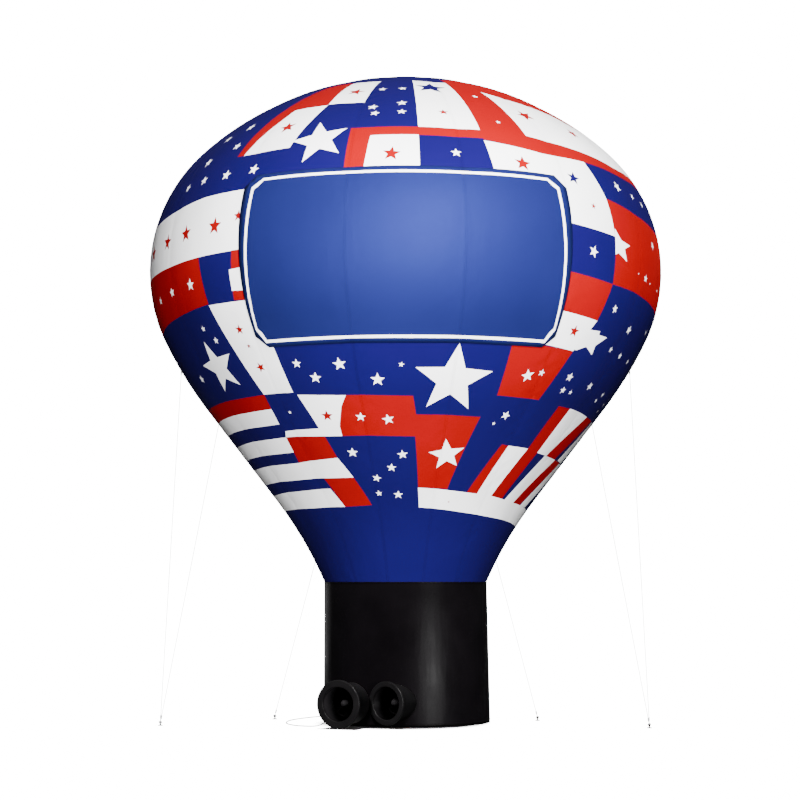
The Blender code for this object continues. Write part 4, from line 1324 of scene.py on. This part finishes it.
def make_housing(side):
    """Drum with a broad flat rim, a shoulder and a neck; inside, a cone narrows to the throat."""
    _, _, rim, drum, mouth, throat, length = BLOWERS[side]
    neck = throat + NECK_WALL
    place = blower_matrix(side)
    profile = [
        (rim, 0.0), (rim, -RIM_DEPTH), (drum, -RIM_DEPTH - 0.006), (drum, -DRUM_LENGTH),
        (neck, -SHOULDER_END), (neck, -length), (throat, -length), (throat, -CONE_DEPTH),
        (mouth - MOUTH_INSET, -0.016), (mouth - MOUTH_INSET, 0.0),
    ]
    shell = turned_mesh("shell", rounded(profile, LIP_RADIUS, 6), 160)
    # The faces inside the mouth and down the duct take the darker copy of the plastic, which is painted
    # shade.
    for each in shell.polygons:
        reach = math.hypot(each.center.x, each.center.y)
        if reach < mouth and -length + 0.001 < each.center.z < -0.0095:
            each.material_index = 1
    shell.transform(place)
    meshes = [shell]
    head = [(0.0, 0.0010), (0.0030, 0.0009), (0.0042, 0.0002), (0.0044, -0.0030), (0.0, -0.0030)]
    for turn in range(SCREWS):
        spin = Matrix.Rotation(2 * math.pi * (turn + 0.5) / SCREWS, 4, "Z")
        at = place @ spin @ Matrix.Translation(((rim + mouth) / 2, 0, 0))
        meshes.append(turned_mesh("screw", head, 16, at, closed=False))
    add_piece(joined(f"{side}_housing", meshes), ["plastic", "cone"],
              replaced=(f"{side}_blower_housing",))
    bell = [(mouth - 0.0035, -0.0110), (mouth - 0.0047, -0.0110), (throat - 0.0027, -CONE_DEPTH),
            (throat - 0.0027, -0.1460), (throat - 0.0015, -0.1460), (throat - 0.0015, -CONE_DEPTH)]
    mesh = turned_mesh(f"{side}_liner", rounded(bell, 0.0005, 2), 128, place)
    add_piece(mesh, ["liner"])


def blade_mesh(root, tip, turn):
    """One twisted, cambered blade of the fan, as a closed thin shell."""
    bm = bmesh.new()
    rings = []
    outline = [(u, 1) for u in np.linspace(-0.5, 0.5, 9)]
    outline += [(u, -1) for u in np.linspace(0.5, -0.5, 9)[1:-1]]
    for part in np.linspace(0.0, 1.0, 11):
        reach = root + (tip - root) * part
        pitch = math.radians(ROOT_PITCH - BLADE_TWIST * part)
        chord = BLADE_CHORD + BLADE_BELLY * math.sin(math.pi * (0.12 + 0.62 * part))
        rake = BLADE_RAKE * part * part
        ring = []
        for u, face in outline:
            camber = BLADE_CAMBER * chord * (1 - 4 * u * u)
            thick = BLADE_HALF * (1 - (2 * u) ** 4) + BLADE_EDGE
            across, up = u * chord, camber + face * thick
            y = across * math.cos(pitch) - up * math.sin(pitch)
            z = across * math.sin(pitch) + up * math.cos(pitch)
            ring.append(bm.verts.new(polar(reach, y / reach + rake, FAN_MIDDLE + z * 0.92)))
        rings.append(ring)
    bridge(bm, rings)
    bm.faces.new(rings[0][::-1])
    bm.faces.new(rings[-1])
    return finished("blade", bm, matrix=Matrix.Rotation(turn, 4, "Z"))


def make_fan(side):
    throat = BLOWERS[side][5]
    nose = [(HUB_RADIUS * math.sin(t), -0.150 + 0.050 * math.cos(t))
            for t in np.linspace(0, math.pi / 2, 13)]
    cap = [(0.0, -0.0985), (0.006, -0.0988), (SHAFT_RADIUS, -0.1012), (SHAFT_RADIUS, -0.108)]
    barrel = [(HUB_RADIUS, -0.156), (HUB_RADIUS - 0.0012, -0.158), (HUB_RADIUS - 0.0012, -0.162),
              (HUB_RADIUS, -0.164), (HUB_RADIUS, -0.198), (SHAFT_RADIUS, -0.198),
              (SHAFT_RADIUS, -0.170), (0.0, -0.170)]
    meshes = [turned_mesh("hub", nose + barrel, 64, closed=False),
              turned_mesh("cap", cap, 24, closed=False)]
    hub_faces = sum(len(mesh.polygons) for mesh in meshes)
    root, tip = HUB_RADIUS - BLADE_SINK, throat - BLADE_ROOM
    meshes += [blade_mesh(root, tip, turn) for turn in circle(BLADES)]
    mesh = joined(f"{side}_fan_wheel", meshes)
    # The hub keeps the lighter copy of the fan's plastic, a painted highlight; the blades take the
    # near-black copy, painted shade.
    for face in mesh.polygons[hub_faces:]:
        face.material_index = 1
    mesh.transform(blower_matrix(side))
    add_piece(mesh, ["fan", "blade"], body=f"{side}_fan_rotor", replaced=(f"{side}_fan",))


# Stakes, ropes and their rings

def make_stakes():
    ball = [(STAKE_BALL * math.sin(t), STAKE_EYE + STAKE_BALL * math.cos(t))
            for t in np.linspace(0, math.radians(152), 20)]
    foot = [(0.0068, 0.014), (0.0072, 0.0105), (0.012, 0.0085), (0.019, 0.0078), (0.0218, 0.0060),
            (0.0222, 0.0040), (0.0220, 0.0), (0.0, 0.0)]
    for name, (x, y) in STAKES.items():
        at = Matrix.Translation((x, y, 0.0))
        mesh = turned_mesh(f"stake_{name}_head", ball + foot, 48, at, closed=False)
        add_piece(mesh, ["steel"], replaced=(f"stake_{name}",))


def ring_points(centre, across, along, radius, count):
    return [centre + radius * (math.cos(t) * across + math.sin(t) * along) for t in circle(count)]


def knot_mesh(at, along, wraps):
    """Turns of the rope wound round itself."""
    side = along.orthogonal().normalized()
    other = along.cross(side)
    points = []
    for k in range(wraps * 16 + 1):
        turn = 2 * math.pi * k / 16
        off = KNOT_RADIUS * (math.cos(turn) * side + math.sin(turn) * other)
        points.append(at + along * (KNOT_PITCH * k / 16) + off)
    return tube_mesh("knot", points, ROPE_RADIUS * 0.95, 8)


def make_ropes():
    for name, stake, degrees, foot_turn in ROPES:
        length = SKIN.length_at(TIE_HEIGHT)
        normal = SKIN.normal(degrees, length)
        seat = SKIN.point(degrees, length, swell=False)
        eye = seat + normal * (TOUCH_GAP + RING_LIFT + RING_RADIUS)
        ball = Vector((*STAKES[stake], STAKE_EYE))
        foot = Matrix.Rotation(math.radians(foot_turn), 3, "X") @ (eye - ball).normalized()
        start = ball + foot * (STAKE_BALL + TOUCH_GAP)
        along = (eye - start).normalized()
        end = eye - along * (RING_RADIUS + 0.005)
        axis = normal.cross(along).normalized()
        path = [start.lerp(end, k / 40) for k in range(41)]
        across = foot.orthogonal().normalized()
        turn = ring_points(ball + foot * 0.001, across, foot.cross(across), TURN_REACH, 40)
        knots = joined(f"guy_rope_{name}_knots", [
            knot_mesh(end - along * KNOT_BACK, along, 6),
            knot_mesh(start + along * KNOT_FORWARD, along, 5),
            tube_mesh("eye", loop_round(end - along * EYE_BACK, along, axis), EYE_RADIUS, 10),
            tube_mesh("turn", turn, TURN_RADIUS, 8, closed=True)])
        knots = add_piece(knots, ["rope"])
        tube = tube_mesh(f"guy_rope_{name}_line", path, ROPE_RADIUS, 12)
        rope = add_piece(tube, ["rope"], replaced=(f"guy_rope_{name}",))
        make_tie(name, degrees, length, normal, eye, along, axis)


def loop_round(at, along, axis):
    """A long eye of rope that goes through the ring and comes back to the knot."""
    half = [at + along * (EYE_REACH + EYE_WIDTH * math.cos(t)) + axis * (EYE_WIDTH * math.sin(t))
            for t in np.linspace(-math.pi / 2, math.pi / 2, 17)]
    return [at - axis * ROPE_RADIUS, *half, at + axis * ROPE_RADIUS]


def make_tie(name, degrees, length, normal, eye, along, axis):
    """A round patch sewn to the skin, a webbing loop on it and the steel ring in the loop."""
    per_degree = math.radians(SKIN.radius_at(length))
    bm = bmesh.new()
    rings = []
    for reach, lift in TIE_PATCH:
        flat = [polar(TIE_PATCH_RADIUS * reach, turn) for turn in circle(48)]
        rings.append([bm.verts.new(SKIN.point(degrees + p.x / per_degree, length + p.y, lift))
                      for p in flat])
    bridge(bm, rings)
    patch = finished("patch", bm, WELD)
    ring_side = axis.cross(normal).normalized()
    bm = bmesh.new()
    rows = []
    for t in np.linspace(-math.pi, math.pi, 33):
        out = BAND_RISE * math.cos(t / 2) ** 2 + BAND_LIFT - RING_RADIUS
        middle = eye + normal * out + ring_side * (BAND_REACH * math.sin(t / 2))
        rows.append([bm.verts.new(middle + axis * w) for w in (-0.0125, -0.006, 0.0, 0.006, 0.0125)])
    bridge(bm, rows, around=False)
    bmesh.ops.solidify(bm, geom=bm.faces[:], thickness=BAND_CLOTH)
    mesh = joined(f"tie_patch_{name}", [patch, finished("band", bm)])
    add_piece(mesh, ["webbing"], replaced=(f"tie_ring_{name}",))
    across = (along - axis * along.dot(axis)).normalized()
    hoop = ring_points(eye, across, axis.cross(across), RING_RADIUS, 48)
    mesh = tube_mesh(f"tie_hoop_{name}", hoop, HOOP_RADIUS, 12, closed=True)
    add_piece(mesh, ["screw"])


def make_crown_patch():
    """The round patch that covers the gores' meeting point."""
    rows = [0.0008, *steps_between(0.02, 0.150, 0.013), PATCH_REACH]
    lifts = {PATCH_REACH: 0.0002}
    mesh = grid_mesh("crown_patch", steps_between(-180.0, 180.0, 4.0)[:-1], rows,
                     lambda degrees, length: SKIN.point(degrees, length, lifts.get(length, PATCH_LIFT)),
                     PATCH_WELD)
    add_piece(mesh, [BLUE])


def dress_nodes():
    """The CAD nodes that stay get the scene's materials."""
    finishes = {"base_floor": "base", "lead_gland": "rubber", "power_plug": "rubber"}
    for side in BLOWERS:
        finishes |= {f"{side}_motor": "motor", f"{side}_stator": "plastic"}
    for name, finish in finishes.items():
        mesh = NODES[name].data
        mesh.materials.clear()
        mesh.materials.append(MATERIALS[finish])


make_envelope()
make_crown()
make_crown_patch()
make_banner()
make_base()
for each in BLOWERS:
    make_cuff(each)
make_sleeve()
make_hems()
for each in BLOWERS:
    make_housing(each)
    make_fan(each)
make_stakes()
make_ropes()
dress_nodes()
NEAR_GROUND = ("base_cloth", "left_housing", "right_housing", "power_cord", "lead_gland",
               "stake_front_left_head", "stake_front_right_head", "stake_back_left_head",
               "stake_back_right_head", "power_plug", "base_hems")
light_floor(FLOOR, [bpy.data.objects[name] for name in NEAR_GROUND])
link_lamps(LAMPS, FLOOR)
